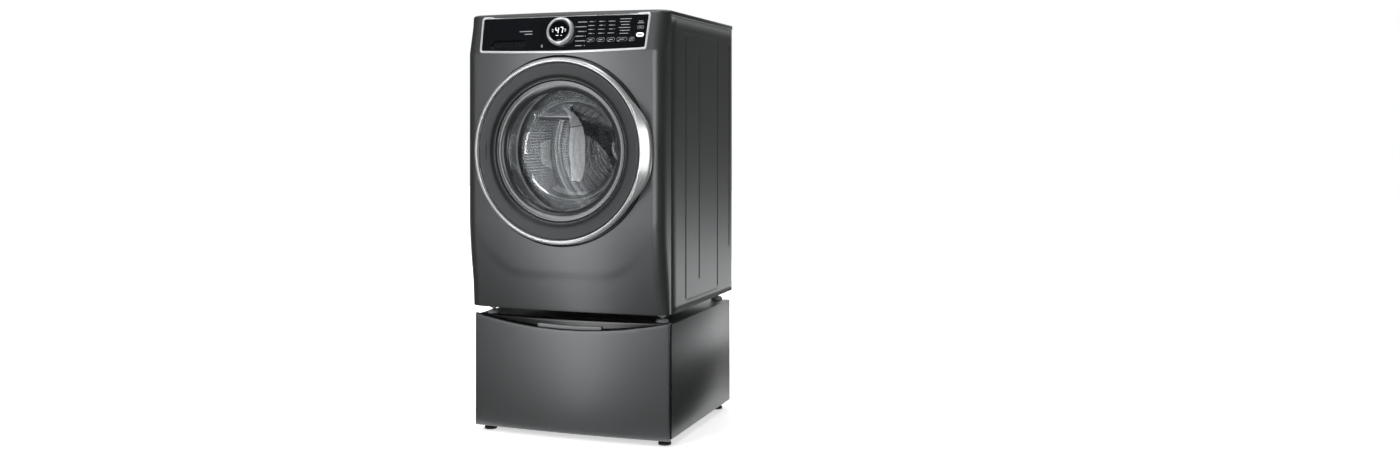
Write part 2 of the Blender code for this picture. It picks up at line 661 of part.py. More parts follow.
# ---------------------------------------------------------------- door
def handle_share(angle_deg):
    """0 on the plain ring, 1 along the grip, with smooth shoulders."""
    away = abs((angle_deg + 180) % 360 - 180)
    t = min(1.0, max(0.0, (HANDLE_HALF_DEG + HANDLE_BLEND_DEG - away) / HANDLE_BLEND_DEG))
    return t * t * (3 - 2 * t)


def trim_section(angle_deg):
    """The chrome ring's section: a crowned band that widens and lifts into the grip."""
    share = handle_share(angle_deg)
    outer = TRIM_RADIUS + (HANDLE_RADIUS - TRIM_RADIUS) * share
    inner = FRAME_RADIUS + 0.0004
    lift = HANDLE_PROUD * share
    crown = inner + 0.35 * (outer - inner)
    profile = [
        (inner, TRIM_FRONT_Y + 0.002 - 0.6 * lift),
        (crown, TRIM_FRONT_Y - lift),
        (outer - 0.002, TRIM_FRONT_Y + 0.009 - 1.2 * lift),
        (outer, TRIM_FRONT_Y + 0.012 - 1.2 * lift),
        (outer, TRIM_FRONT_Y + 0.021 - 1.4 * lift),
        (TRIM_RADIUS - 0.002, TRIM_FRONT_Y + 0.023 - 1.2 * lift),
        (TRIM_RADIUS - 0.004, DOOR_BACK_Y),
        (inner, DOOR_BACK_Y),
    ]
    turn = math.radians(angle_deg)
    return [(r * math.cos(turn), y, DOOR_Z + r * math.sin(turn)) for r, y in profile]


def hinge_cutters(tag, with_pin):
    """The pocket that the fixed hinge arm sits in, open to the back and to the left."""
    high, low = DOOR_Z + HINGE_HALF_HEIGHT + 0.001, DOOR_Z - HINGE_HALF_HEIGHT - 0.001
    made = [
        box(f"{tag}_pocket", (HINGE_X - 0.028, HINGE_Y - 0.0045, low),
            (HINGE_X + 0.028, DOOR_BACK_Y + 0.01, high)),
        cylinder(f"{tag}_knuckle_space", (HINGE_X, HINGE_Y, low), (HINGE_X, HINGE_Y, high),
                 KNUCKLE_RADIUS + 0.0013, sides=20),
    ]
    if with_pin:
        reach = PIN_HALF_LENGTH + 0.001
        made.append(cylinder(f"{tag}_pin_bore", (HINGE_X, HINGE_Y, DOOR_Z - reach),
                             (HINGE_X, HINGE_Y, DOOR_Z + reach), PIN_RADIUS + BORE_GAP, sides=20))
    return made


def offset_profile(radius, y, steps):
    """A turned profile given as steps out from a radius and back from a plane."""
    return [(radius + out, y + back) for out, back in steps]


def build_door():
    middle = (0, 0, DOOR_Z)
    slope = [(0.038, 0.0025), (0.026, 0.0055), (0.014, 0.0135), (0.005, 0.0215), (0, 0.0225)]
    frame = turned(
        "door_frame",
        [(FRAME_RADIUS, TRIM_FRONT_Y + 0.0025)] + offset_profile(WINDOW_RADIUS, TRIM_FRONT_Y, slope)
        + [(WINDOW_RADIUS, DOOR_BACK_Y), (FRAME_RADIUS, DOOR_BACK_Y)],
        middle, titanium_dark, steps=48)
    cut(frame, *hinge_cutters("frame", True))

    trim = loft("door_trim", [trim_section(360 * i / 64) for i in range(64)], aluminium)
    cut(trim, *hinge_cutters("trim", True))

    bezel = [(-0.0004, -0.0065), (-0.0004, -0.0017), (-0.0245, -0.0017), (-0.0325, 0.0135), (-0.0345, 0.0135),
             (-0.0270, -0.0040)]
    turned("door_bezel", offset_profile(WINDOW_RADIUS, DOOR_BACK_Y, bezel), middle, satin_grey, steps=48)

    bowl = [(-0.0010, -0.0013), (-0.0235, -0.0013), (-0.0340, 0.0315), (-0.0445, 0.0825), (-0.0680, 0.1235),
            (-0.1260, 0.1495)]
    back = [(-0.1250, 0.1533), (-0.0655, 0.1270), (-0.0407, 0.0840), (-0.0300, 0.0325), (-0.0205, 0.0025),
            (-0.0010, 0.0025)]
    turned(
        "door_glass",
        [(0, DOOR_BACK_Y + 0.1615)] + offset_profile(WINDOW_RADIUS, DOOR_BACK_Y, back + bowl)
        + [(0, DOOR_BACK_Y + 0.1575)],
        middle, glass, steps=48)

    inner = [(0.0030, 0.0055), (-0.0010, 0.0165), (-0.0190, 0.0165), (-0.0190, 0.0029), (-0.0004, 0.0029),
             (-0.0004, SEAT_GAP)]
    liner = turned(
        "door_liner",
        offset_profile(FRAME_RADIUS - 0.0025, DOOR_BACK_Y, [(0, SEAT_GAP), (0, 0.0055)])
        + offset_profile(WINDOW_RADIUS, DOOR_BACK_Y, inner),
        middle, black_plastic, steps=48)
    cut(liner, *hinge_cutters("liner", False))
    join(liner, box("striker", (STRIKER_X, DOOR_BACK_Y + 0.0045, DOOR_Z - 0.010),
                    (STRIKER_X + STRIKER_THICKNESS, DOOR_BACK_Y + 0.0285, DOOR_Z + 0.010)))

    # fixed arm, knuckle and pin
    low, high = DOOR_Z - HINGE_HALF_HEIGHT, DOOR_Z + HINGE_HALF_HEIGHT
    bracket = cylinder("door_hinge", (HINGE_X, HINGE_Y, low), (HINGE_X, HINGE_Y, high),
                       KNUCKLE_RADIUS, cast_metal, sides=20)
    arm = box("hinge_arm", (HINGE_X, HINGE_Y - 0.0035, low), (HINGE_X + 0.025, HINGE_Y + 0.0035, high))
    post = box("hinge_post", (HINGE_X + 0.017, HINGE_Y - 0.0030, low + 0.0005),
               (HINGE_X + 0.0245, LANDING_Y - SEAT_GAP, high - 0.0005))
    join(bracket, arm, post)
    cut(bracket, cylinder("hinge_bore", (HINGE_X, HINGE_Y, low - 0.01), (HINGE_X, HINGE_Y, high + 0.01),
                          PIN_RADIUS + BORE_GAP, sides=20))
    cylinder("hinge_pin", (HINGE_X, HINGE_Y, DOOR_Z - PIN_HALF_LENGTH),
             (HINGE_X, HINGE_Y, DOOR_Z + PIN_HALF_LENGTH), PIN_RADIUS, steel, sides=20)

    lock = box("door_lock", (STRIKER_X - 0.0065, LANDING_Y + SHEET + SEAT_GAP, DOOR_Z - 0.045),
               (STRIKER_X + 0.0165, LANDING_Y + 0.038, DOOR_Z + 0.045), black_plastic)
    cut(lock, box("lock_slot", (STRIKER_X - 0.0040, LANDING_Y - 0.01, DOOR_Z - 0.013),
                  (STRIKER_X + 0.0095, LANDING_Y + 0.028, DOOR_Z + 0.013)))

    # flange on the panel, one fold for the tub's float, and the lip that reaches for the glass
    flange = LANDING_Y + SHEET + SEAT_GAP
    neck = TUB_NECK_Y - SEAT_GAP
    outside = [(-0.0010, 0.0420), (-0.0140, 0.0580), (-0.0010, 0.0760)]
    inside = [(-0.0045, 0.0755), (-0.0170, 0.0580), (-0.0030, 0.0415), (-0.0030, 0.0300), (-0.0375, 0.0430),
              (-0.0375, 0.0405), (-0.0030, 0.0275)]
    turned(
        "door_gasket",
        offset_profile(DOOR_HOLE_RADIUS, flange, [(0.0065, 0), (0.0065, 0.0022), (-0.0010, 0.0022)])
        + offset_profile(DOOR_HOLE_RADIUS, LANDING_Y, outside)
        + [(TUB_MOUTH_RADIUS, neck), (TUB_MOUTH_RADIUS - 0.0038, neck)]
        + offset_profile(DOOR_HOLE_RADIUS, LANDING_Y, inside) + [(DOOR_HOLE_RADIUS - 0.0030, flange)],
        middle, rubber, steps=36)


# ---------------------------------------------------------------- tub, drum and drive
def build_tub():
    axis = (0, 0, AXIS_Z)
    bore, skin, mouth = TUB_RADIUS - TUB_WALL, TUB_RADIUS, TUB_MOUTH_RADIUS
    neck, flange = mouth + 0.009, skin + 0.012
    turned(
        "tub_front",
        [(mouth - 0.004, TUB_NECK_Y), (mouth, TUB_NECK_Y), (mouth, TUB_NECK_Y + 0.010),
         (neck, TUB_FRONT_Y - 0.002), (skin - 0.014, TUB_FRONT_Y), (skin, TUB_FRONT_Y + 0.014), (skin, -0.012),
         (flange, -0.010), (flange, -SEAT_GAP), (bore, -SEAT_GAP), (bore, TUB_FRONT_Y + 0.018),
         (skin - 0.018, TUB_FRONT_Y + TUB_WALL), (neck, TUB_FRONT_Y + TUB_WALL),
         (mouth - 0.004, TUB_NECK_Y + 0.013)],
        axis, white_plastic, steps=32)
    seat, boss = BEARING_RADIUS + SEAT_GAP, BEARING_BACK_Y + 0.002
    rear = turned(
        "tub_rear",
        [(flange, SEAT_GAP), (flange, 0.010), (skin, 0.012), (skin, TUB_BACK_Y - 0.015),
         (skin - 0.014, TUB_BACK_Y), (0.060, TUB_BACK_Y), (0.046, boss), (seat, boss),
         (seat, BEARING_FRONT_Y - SEAT_GAP),
         (skin - 0.018, TUB_BACK_Y - TUB_WALL - 0.004), (bore, TUB_BACK_Y - 0.017), (bore, SEAT_GAP)],
        axis, white_plastic, steps=32)
    for side, x in (("left", -SPRING_X), ("right", SPRING_X)):
        join(rear, box(f"spring_lug_{side}", (x - 0.008, SPRING_Y - 0.004, TUB_TOP_Z - 0.012),
                       (x + 0.008, SPRING_Y + 0.004, TUB_TOP_Z + LUG_LENGTH)))
    for side, x in (("left", -DAMPER_X), ("right", DAMPER_X)):
        join(rear, box(f"damper_lug_{side}", (x - 0.010, DAMPER_Y - 0.010, TUB_LOW_Z - LUG_LENGTH),
                       (x + 0.010, DAMPER_Y + 0.010, TUB_LOW_Z + 0.010)))

    # the weight's back follows the tub's gently coned face
    slope = 0.002 / (skin - 0.014 - neck)
    face = TUB_FRONT_Y - 2 * SEAT_GAP
    weight = turned(
        "counterweight",
        [(neck + 0.016, TUB_FRONT_Y - 0.0260), (skin - 0.004, TUB_FRONT_Y - 0.0260),
         (skin - 0.002, TUB_FRONT_Y - 0.0240), (skin - 0.002, face), (skin - 0.014, face),
         (neck + 0.014, face - 0.002 + slope * 0.014), (neck + 0.014, TUB_FRONT_Y - 0.0240)],
        axis, cast_iron, steps=32)
    cut(weight, box("weight_cut", (-0.5, -0.4, AXIS_Z - 0.5), (0.5, 0.1, AXIS_Z + 0.060)))


def build_drum():
    axis = (0, 0, AXIS_Z)
    skin, bore, mouth = DRUM_RADIUS, DRUM_RADIUS - DRUM_WALL, DRUM_MOUTH_RADIUS
    front, back = DRUM_FRONT_Y, DRUM_BACK_Y
    turned(
        "drum",
        [(mouth, front - 0.0085), (mouth + 0.004, front - 0.0110), (skin - 0.014, front - 0.004),
         (skin, front + 0.010), (skin, back - 0.008), (skin - 0.008, back), (0, back), (0, back - DRUM_WALL),
         (skin - 0.010, back - DRUM_WALL), (bore, back - 0.010), (bore, front + 0.012),
         (skin - 0.016, front - 0.001), (mouth + 0.004, front - 0.0075)],
        axis, stainless, steps=44)
    foot = bore * math.cos(math.pi / 44) - SEAT_GAP
    along = ((front + 0.019, 0.35), (front + 0.040, 0.9), (front + 0.105, 1.0), (back - 0.085, 1.0),
             (back - 0.035, 0.85), (back - 0.017, 0.35))
    across = ((-1.0, 0.0), (-0.55, 0.45), (-0.28, 0.92), (0.0, 1.0), (0.28, 0.92), (0.55, 0.45), (1.0, 0.0),
              (0.0, 0.0))
    for count, angle in enumerate(LIFTER_ANGLES, 1):
        turn = math.radians(angle)
        out = Vector((math.cos(turn), 0, math.sin(turn)))
        side = Vector((-math.sin(turn), 0, math.cos(turn)))
        sections = []
        for y, share in along:
            tip = foot - LIFTER_HEIGHT * share
            ring = []
            for offset, height in across:
                reach = math.sqrt(foot**2 - (LIFTER_HALF_BASE * offset) ** 2)
                centre = out * (reach + (tip - reach) * height) + side * (LIFTER_HALF_BASE * offset)
                ring.append((centre.x, y, AXIS_Z + centre.z))
            sections.append(ring)
        loft(f"drum_lifter_{count}", sections, grey_plastic, ring=False)

    # three-armed spider with the drive shaft
    shaft = cylinder("drum_shaft", (0, back + 0.004, AXIS_Z), (0, PULLEY_Y + 0.022, AXIS_Z),
                     SHAFT_RADIUS, cast_metal, sides=24)
    join(shaft, cylinder("spider_hub", (0, back + SEAT_GAP, AXIS_Z), (0, back + 0.0205, AXIS_Z),
                         0.044, sides=32))
    for count, angle in enumerate(LIFTER_ANGLES, 1):
        arm = box(f"spider_arm_{count}", (0, back + SEAT_GAP, -0.014), (skin - 0.020, back + 0.014, 0.014))
        arm.location = (0, 0, AXIS_Z)
        arm.rotation_euler = (0, -math.radians(angle), 0)
        join(shaft, arm)

    bore = SHAFT_RADIUS + SEAT_GAP
    turned(
        "tub_bearing",
        [(bore, BEARING_FRONT_Y), (BEARING_RADIUS, BEARING_FRONT_Y), (BEARING_RADIUS, BEARING_BACK_Y),
         (bore, BEARING_BACK_Y)],
        axis, steel, steps=32)

    half, rim = BELT_WIDTH / 2 + 0.003, PULLEY_RADIUS - 0.010
    pulley = turned(
        "drum_pulley",
        [(bore, PULLEY_Y - 0.016), (0.030, PULLEY_Y - 0.016), (0.034, PULLEY_Y - 0.004),
         (rim, PULLEY_Y - 0.003), (PULLEY_RADIUS, PULLEY_Y - half), (PULLEY_RADIUS, PULLEY_Y + half),
         (rim, PULLEY_Y + 0.003), (0.034, PULLEY_Y + 0.004), (0.030, PULLEY_Y + 0.016), (bore, PULLEY_Y + 0.016)],
        axis, cast_metal, steps=32)
    windows, middle = 5, 0.088
    for count in range(windows):
        turn = 2 * math.pi * count / windows
        x, z = middle * math.cos(turn), AXIS_Z + middle * math.sin(turn)
        cut(pulley, cylinder(f"pulley_window_{count + 1}", (x, PULLEY_Y - 0.02, z), (x, PULLEY_Y + 0.02, z),
                             0.036, sides=12))


def build_motor():
    at, shaft = (MOTOR_X, 0, MOTOR_Z), 0.0060
    motor = turned(
        "motor",
        [(0, 0.105), (0.030, 0.105), (MOTOR_RADIUS, 0.120), (MOTOR_RADIUS, 0.225), (0.030, 0.240),
         (0.018, 0.246), (shaft, 0.246), (shaft, PULLEY_Y + 0.010), (0, PULLEY_Y + 0.010)],
        at, galvanised, steps=24)
    # saddle that hangs the motor from the tub
    reach = Vector((-MOTOR_X, 0, AXIS_Z - MOTOR_Z))
    gap = reach.length - TUB_RADIUS
    saddle = box("motor_saddle", (-0.030, 0.130, MOTOR_RADIUS - 0.012), (0.030, 0.185, gap - SEAT_GAP - 0.0018))
    saddle.location = at
    saddle.rotation_euler = (0, math.atan2(-MOTOR_X, AXIS_Z - MOTOR_Z), 0)
    join(motor, saddle)
    half = BELT_WIDTH / 2 + 0.002
    r = MOTOR_PULLEY_RADIUS
    turned("motor_pulley",
           [(shaft + SEAT_GAP, PULLEY_Y - half), (r + 0.003, PULLEY_Y - half), (r, PULLEY_Y - half + 0.0015),
            (r, PULLEY_Y + half - 0.0015), (r + 0.003, PULLEY_Y + half), (shaft + SEAT_GAP, PULLEY_Y + half)],
           at, steel, steps=24)

    belt = prism("drive_belt", belt_outline(BELT_THICKNESS + SEAT_GAP), PULLEY_Y - BELT_WIDTH / 2,
                 PULLEY_Y + BELT_WIDTH / 2, rubber)
    cut(belt, prism("belt_inside", belt_outline(SEAT_GAP), PULLEY_Y - 0.05, PULLEY_Y + 0.05))


def belt_outline(offset):
    """The loop round both pulleys: two arcs joined by their outer tangents."""
    big, small = PULLEY_RADIUS + offset, MOTOR_PULLEY_RADIUS + offset
    down = Vector((MOTOR_X, MOTOR_Z - AXIS_Z))
    heading = math.atan2(down.y, down.x)
    spread = math.acos((big - small) / down.length)
    points = []
    for step in range(41):
        turn = heading + spread + (2 * math.pi - 2 * spread) * step / 40
        points.append((big * math.cos(turn), AXIS_Z + big * math.sin(turn)))
    for step in range(13):
        turn = heading - spread + 2 * spread * step / 12
        points.append((MOTOR_X + small * math.cos(turn), MOTOR_Z + small * math.sin(turn)))
    return points


def build_suspension():
    base, tube_top = PAN_TOP_Z, PAN_TOP_Z + DAMPER_HEIGHT
    rod_top = TUB_LOW_Z - LUG_LENGTH - SEAT_GAP
    body = [(0, base), (0.020, base), (0.020, base + 0.006), (0.016, base + 0.008), (0.016, tube_top),
            (0.0065, tube_top), (0.0065, base + 0.030), (0, base + 0.030)]
    rod = [(0, base + 0.048), (0.0060, base + 0.048), (0.0060, rod_top - 0.0117), (0.011, rod_top - 0.0097),
           (0.011, rod_top), (0, rod_top)]
    for side, x in (("left", -1), ("right", 1)):
        foot = (x * DAMPER_X, DAMPER_Y, 0)
        turned(f"damper_body_{side}", body, foot, steel, axis="Z", steps=16)
        turned(f"damper_rod_{side}", rod, foot, grey_plastic, axis="Z", steps=16)

        top, low = BRACE_Z - SEAT_GAP, TUB_TOP_Z + LUG_LENGTH + SEAT_GAP
        turns, each = SPRING_TURNS, 6
        coil_top, coil_low = top - 0.020, low + 0.020
        points = [(x * SPRING_X, SPRING_Y, top), (x * SPRING_X, SPRING_Y, coil_top + 0.006)]
        for step in range(turns * each + 1):
            turn = 2 * math.pi * step / each
            height = coil_top + (coil_low - coil_top) * step / (turns * each)
            points.append((x * SPRING_X + SPRING_RADIUS * math.cos(turn),
                           SPRING_Y + SPRING_RADIUS * math.sin(turn), height))
        points += [(x * SPRING_X, SPRING_Y, coil_low - 0.006), (x * SPRING_X, SPRING_Y, low)]
        tube(f"suspension_spring_{side}", points, 0.0016, steel, resolution=0)


def build_pump():
    x, floor = PUMP_X, PAN_TOP_Z
    z = floor + PUMP_RADIUS + 0.004
    pump = cylinder("drain_pump", (x, -0.190, z), (x, -0.070, z), PUMP_RADIUS, grey_plastic, sides=28)
    join(pump, box("pump_foot", (x - 0.035, -0.165, floor), (x + 0.035, -0.095, floor + 0.012)))
    join(pump, cylinder("pump_inlet", (x, -0.160, z), (x, -0.160, z + 0.060), 0.016, sides=20))
    join(pump, cylinder("pump_outlet", (x, -0.110, z + 0.010), (x - 0.090, -0.110, z + 0.010), 0.011, sides=20))


# ---------------------------------------------------------------- pedestal
def drawer_front_y(x, half):
    return DRAWER_EDGE_Y - DRAWER_BOW * (1 - (x / half) ** 2)


def build_pedestal():
    low = PEDESTAL_LIFT
    cabinet = box("pedestal_cabinet", (-HALF_WIDTH, PEDESTAL_FRONT_Y, low),
                  (HALF_WIDTH, PEDESTAL_BACK_Y, PEDESTAL_HEIGHT), titanium)
    cut(cabinet, box("pedestal_cavity", (-INNER_HALF, PEDESTAL_FRONT_Y - 0.01, low + SHEET),
                     (INNER_HALF, PEDESTAL_BACK_Y - SHEET, PEDESTAL_HEIGHT - 2 * SHEET)))
    for side, sign in (("left", -1), ("right", 1)):
        inner, outer = sign * (BIN_HALF_WIDTH + SLIDE_GAP), sign * (INNER_HALF + SHEET / 2)
        near, far = min(inner, outer), max(inner, outer)
        join(cabinet, box(f"drawer_rail_{side}", (near, PEDESTAL_FRONT_Y + 0.004, RAIL_TOP_Z - 0.010),
                          (far, BIN_BACK_Y, RAIL_TOP_Z)))

    columns = 16
    half = HALF_WIDTH - 0.003
    back = PEDESTAL_FRONT_Y - SLIDE_GAP
    wall = DRAWER_WALL
    solid, hollow = [], []
    for step in range(columns + 1):
        x = -half + 2 * half * step / columns
        front = drawer_front_y(x, half)
        top = DRAWER_CORNER_Z - DRAWER_DIP * (1 - (x / half) ** 2)
        solid.append([(x, front, DRAWER_LOW_Z), (x, front, top - 0.003), (x, front + 0.003, top),
                      (x, back, top), (x, back, DRAWER_LOW_Z)])
        inside = x * (1 - wall / half)
        near, far, floor, ceiling = front + 0.002, back + 0.0145, DRAWER_LOW_Z + wall, GRIP_FLOOR_Z - wall
        hollow.append([(inside, near, floor), (inside, near, ceiling), (inside, far, ceiling),
                       (inside, far, floor)])
    panel = loft("pedestal_drawer_front", solid, titanium, ring=False)
    cut(panel, loft("drawer_front_hollow", hollow, collection=helpers, ring=False))
    # finger pocket behind the dipped top edge
    cut(panel, box("grip_pocket", (-GRIP_HALF_WIDTH, back - 0.0180, GRIP_FLOOR_Z),
                   (GRIP_HALF_WIDTH, back - 0.0030, DRAWER_CORNER_Z + 0.05)))

    side, front = BIN_HALF_WIDTH, PEDESTAL_FRONT_Y
    tray = box("pedestal_drawer_bin", (-side, front - SLIDE_GAP + SEAT_GAP, BIN_BOTTOM_Z),
               (side, BIN_BACK_Y, BIN_TOP_Z), galvanised)
    for name, sign in (("left", -1), ("right", 1)):
        near, far = sign * (side - 0.001), sign * (side + 0.030)
        join(tray, box(f"bin_flange_{name}", (min(near, far), front + 0.004, RAIL_TOP_Z + SEAT_GAP),
                       (max(near, far), BIN_BACK_Y, RAIL_TOP_Z + SEAT_GAP + 0.002)))
    cut(tray, box("bin_inside", (SHEET - side, front + SHEET, BIN_BOTTOM_Z + SHEET),
                  (side - SHEET, BIN_BACK_Y - SHEET, BIN_TOP_Z + 0.01)))


clear_scene()
parts = new_collection("Washing machine")
helpers = new_collection("Cutters")

titanium = material("titanium paint", (0.085, 0.088, 0.092), 0.32, 0.75)
titanium_dark = material("titanium door plastic", (0.075, 0.078, 0.080), 0.38, 0.6)
chrome = material("chrome", (0.80, 0.80, 0.81), 0.12, 1.0)
aluminium = material("spun aluminium", (0.72, 0.72, 0.73), 0.25, 1.0)
satin_grey = material("satin grey plastic", (0.20, 0.20, 0.21), 0.35, 0.3)
gloss_black = material("gloss black plastic", (0.012, 0.012, 0.014), 0.12)
black_glass = material("display glass", (0.006, 0.006, 0.008), 0.06)
black_plastic = material("black plastic", (0.02, 0.02, 0.021), 0.5)
grey_plastic = material("grey plastic", (0.42, 0.43, 0.44), 0.5)
white_plastic = material("white plastic", (0.80, 0.80, 0.78), 0.45)
glass = material("door glass", (0.75, 0.77, 0.78), 0.03, 0.0, 0.3)
rubber = material("rubber", (0.09, 0.09, 0.095), 0.7)
stainless = material("stainless steel", (0.55, 0.55, 0.56), 0.28, 1.0)
steel = material("steel", (0.50, 0.50, 0.52), 0.35, 1.0)
cast_metal = material("cast aluminium", (0.45, 0.45, 0.46), 0.5, 0.9)
galvanised = material("galvanised steel", (0.50, 0.52, 0.54), 0.45, 0.9)
cast_iron = material("cast iron", (0.10, 0.10, 0.10), 0.8, 0.6)

build_front_panel()
build_cabinet()
build_feet()
build_console()
build_dispenser()
build_door()
build_tub()
build_drum()
build_motor()
build_suspension()
build_pump()
build_pedestal()
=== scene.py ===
import math

import bmesh
import bpy
from mathutils import Matrix, Vector


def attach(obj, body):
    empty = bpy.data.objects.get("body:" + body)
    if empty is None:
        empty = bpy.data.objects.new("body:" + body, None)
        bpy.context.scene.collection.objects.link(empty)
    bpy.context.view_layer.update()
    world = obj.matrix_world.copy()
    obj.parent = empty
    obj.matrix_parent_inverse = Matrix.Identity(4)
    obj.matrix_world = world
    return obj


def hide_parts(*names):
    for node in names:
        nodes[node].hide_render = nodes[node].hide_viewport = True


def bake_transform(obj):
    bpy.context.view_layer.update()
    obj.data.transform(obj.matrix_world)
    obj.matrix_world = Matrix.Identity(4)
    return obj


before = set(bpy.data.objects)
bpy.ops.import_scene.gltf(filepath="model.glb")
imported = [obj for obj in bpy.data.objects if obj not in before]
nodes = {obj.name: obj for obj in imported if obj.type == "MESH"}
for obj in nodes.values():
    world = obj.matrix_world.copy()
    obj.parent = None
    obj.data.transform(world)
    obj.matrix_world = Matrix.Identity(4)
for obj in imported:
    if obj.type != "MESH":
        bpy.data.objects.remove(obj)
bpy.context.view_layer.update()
print("frame loaded:", len(nodes), "nodes")


def toLinear(hexColour, alpha=1.0):
    parts = [int(hexColour[i:i + 2], 16) / 255 for i in (1, 3, 5)]
    return tuple(c / 12.92 if c <= 0.04045 else ((c + 0.055) / 1.055) ** 2.4 for c in parts) + (alpha,)


def cosDeg(degrees):
    return math.cos(math.radians(degrees))


def sinDeg(degrees):
    return math.sin(math.radians(degrees))


def addNode(material, kind, settings=None, inputs=None):
    # a value sets the socket, a socket is linked to it
    tree = material.node_tree
    node = tree.nodes.new(kind)
    for key, value in (settings or {}).items():
        setattr(node, key, value)
    for key, value in (inputs or {}).items():
        if isinstance(value, bpy.types.NodeSocket):
            tree.links.new(value, node.inputs[key])
        else:
            node.inputs[key].default_value = value
    return node


def startMaterial(name, colour, roughness, metallic=0.0, **more):
    material = bpy.data.materials.new(name)
    material.use_nodes = True
    shader = material.node_tree.nodes["Principled BSDF"]
    shader.inputs["Base Color"].default_value = toLinear(colour)
    shader.inputs["Roughness"].default_value = roughness
    shader.inputs["Metallic"].default_value = metallic
    for key, value in more.items():
        shader.inputs[key.replace("_", " ")].default_value = value
    return material, shader


def addGrain(material, shader, sizeMm, bump, depthMm, roughness=None, brushed=None):
    # one noise drives a fine bump and a small change of roughness; brushed stretches it along the UV
    coords = addNode(material, "ShaderNodeTexCoord")
    mapping = addNode(material, "ShaderNodeMapping", inputs={
        "Vector": coords.outputs["UV" if brushed else "Object"], "Scale": brushed or (1, 1, 1)})
    noise = addNode(material, "ShaderNodeTexNoise",
                    inputs={"Vector": mapping.outputs["Vector"], "Scale": 1000 / sizeMm, "Detail": 3.0})
    lift = addNode(material, "ShaderNodeBump",
                   inputs={"Height": noise.outputs["Fac"], "Strength": bump, "Distance": depthMm / 1000})
    material.node_tree.links.new(lift.outputs["Normal"], shader.inputs["Normal"])
    if roughness:
        spread = addNode(material, "ShaderNodeMapRange",
                         inputs={"Value": noise.outputs["Fac"], "From Min": 0.3, "From Max": 0.7,
                                 "To Min": roughness[0], "To Max": roughness[1]})
        material.node_tree.links.new(spread.outputs["Result"], shader.inputs["Roughness"])


def makeFinish(name, colour, roughness, metallic, grain, glow=None, **more):
    # grain holds what addGrain asks for; glow is the colour and strength of the light behind it
    material, shader = startMaterial(name, colour, roughness, metallic, **more)
    if glow:
        shader.inputs["Emission Color"].default_value = toLinear(glow[0])
        shader.inputs["Emission Strength"].default_value = glow[1]
    addGrain(material, shader, *grain)
    return material


def addPiece(bm, name, material, body=None, stands=(), smoothDeg=35, recalc=True):
    # turns a bmesh into a finished piece that rides on its body
    if recalc:
        bmesh.ops.remove_doubles(bm, verts=bm.verts, dist=1e-6)
        bmesh.ops.recalc_face_normals(bm, faces=bm.faces)
    mesh = bpy.data.meshes.new(name)
    bm.to_mesh(mesh)
    bm.free()
    piece = bpy.data.objects.new(name, mesh)
    bpy.context.scene.collection.objects.link(piece)
    mesh.materials.append(material)
    mesh.shade_smooth()
    mesh.set_sharp_from_angle(angle=math.radians(smoothDeg))
    if body:
        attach(piece, body)
    if stands:
        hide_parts(*stands)
    return piece


def copyNode(nodeName):
    # a merged copy of a CAD node, in the shared frame
    bm = bmesh.new()
    bm.from_mesh(nodes[nodeName].data)
    bmesh.ops.remove_doubles(bm, verts=bm.verts, dist=1e-5)
    bmesh.ops.dissolve_limit(bm, angle_limit=math.radians(0.6), verts=bm.verts, edges=bm.edges)
    return bm


def sharpEdges(bm, degrees):
    return [e for e in bm.edges if len(e.link_faces) == 2 and e.calc_face_angle(0) > math.radians(degrees)]


def roundEdges(bm, edges, radius, segments, clamp=False):
    bmesh.ops.bevel(bm, geom=edges, offset=radius, segments=segments, profile=0.5, affect="EDGES",
                    material=-1, clamp_overlap=clamp)


def onlyVerts(geometry):
    return [part for part in geometry if isinstance(part, bmesh.types.BMVert)]


def turnVerts(bm, verts, angle, axis):
    bmesh.ops.rotate(bm, cent=(0, 0, 0), matrix=Matrix.Rotation(angle, 3, axis), verts=verts)


def addBlock(bm, size, place):
    made = bmesh.ops.create_cube(bm, size=1.0)["verts"]
    bmesh.ops.scale(bm, vec=size, verts=made)
    bmesh.ops.translate(bm, vec=place, verts=made)
    return made


def addCone(bm, place, radii, depth, segments, tiltDeg=90):
    # a short cone or disc with its axis along Y
    made = bmesh.ops.create_cone(bm, cap_ends=True, segments=segments, radius1=radii[0], radius2=radii[1],
                                 depth=depth)["verts"]
    turnVerts(bm, made, math.radians(tiltDeg), "X")
    bmesh.ops.translate(bm, vec=place, verts=made)


def thicken(piece, name, thickness, offset=-1.0):
    wall = piece.modifiers.new(name, "SOLIDIFY")
    wall.thickness = thickness
    wall.offset = offset


def turnOutward(bm, face, outward):
    # the whole open sheet is flipped if the given face looks the wrong way
    if face.normal.dot(Vector(outward)) < 0:
        bmesh.ops.reverse_faces(bm, faces=bm.faces)


def roundTurns(face, centre):
    # each corner's turn about the Y axis, as a share of a full turn, with no jump inside the face
    turns = []
    for loop in face.loops:
        d = loop.vert.co - centre
        turns.append(math.atan2(d.z, d.x) / (2 * math.pi))
    return [turn - round(turn - turns[0]) for turn in turns]


def refineNode(nodeName, material, body, roundMm=0.0, smoothDeg=35):
    # the CAD shape with its edges rounded and its curves shaded smooth
    bm = copyNode(nodeName)
    if roundMm:
        roundEdges(bm, sharpEdges(bm, 50), roundMm / 1000, 2, clamp=True)
    addPiece(bm, nodeName + "Look", material, body, (nodeName,), smoothDeg, recalc=False)


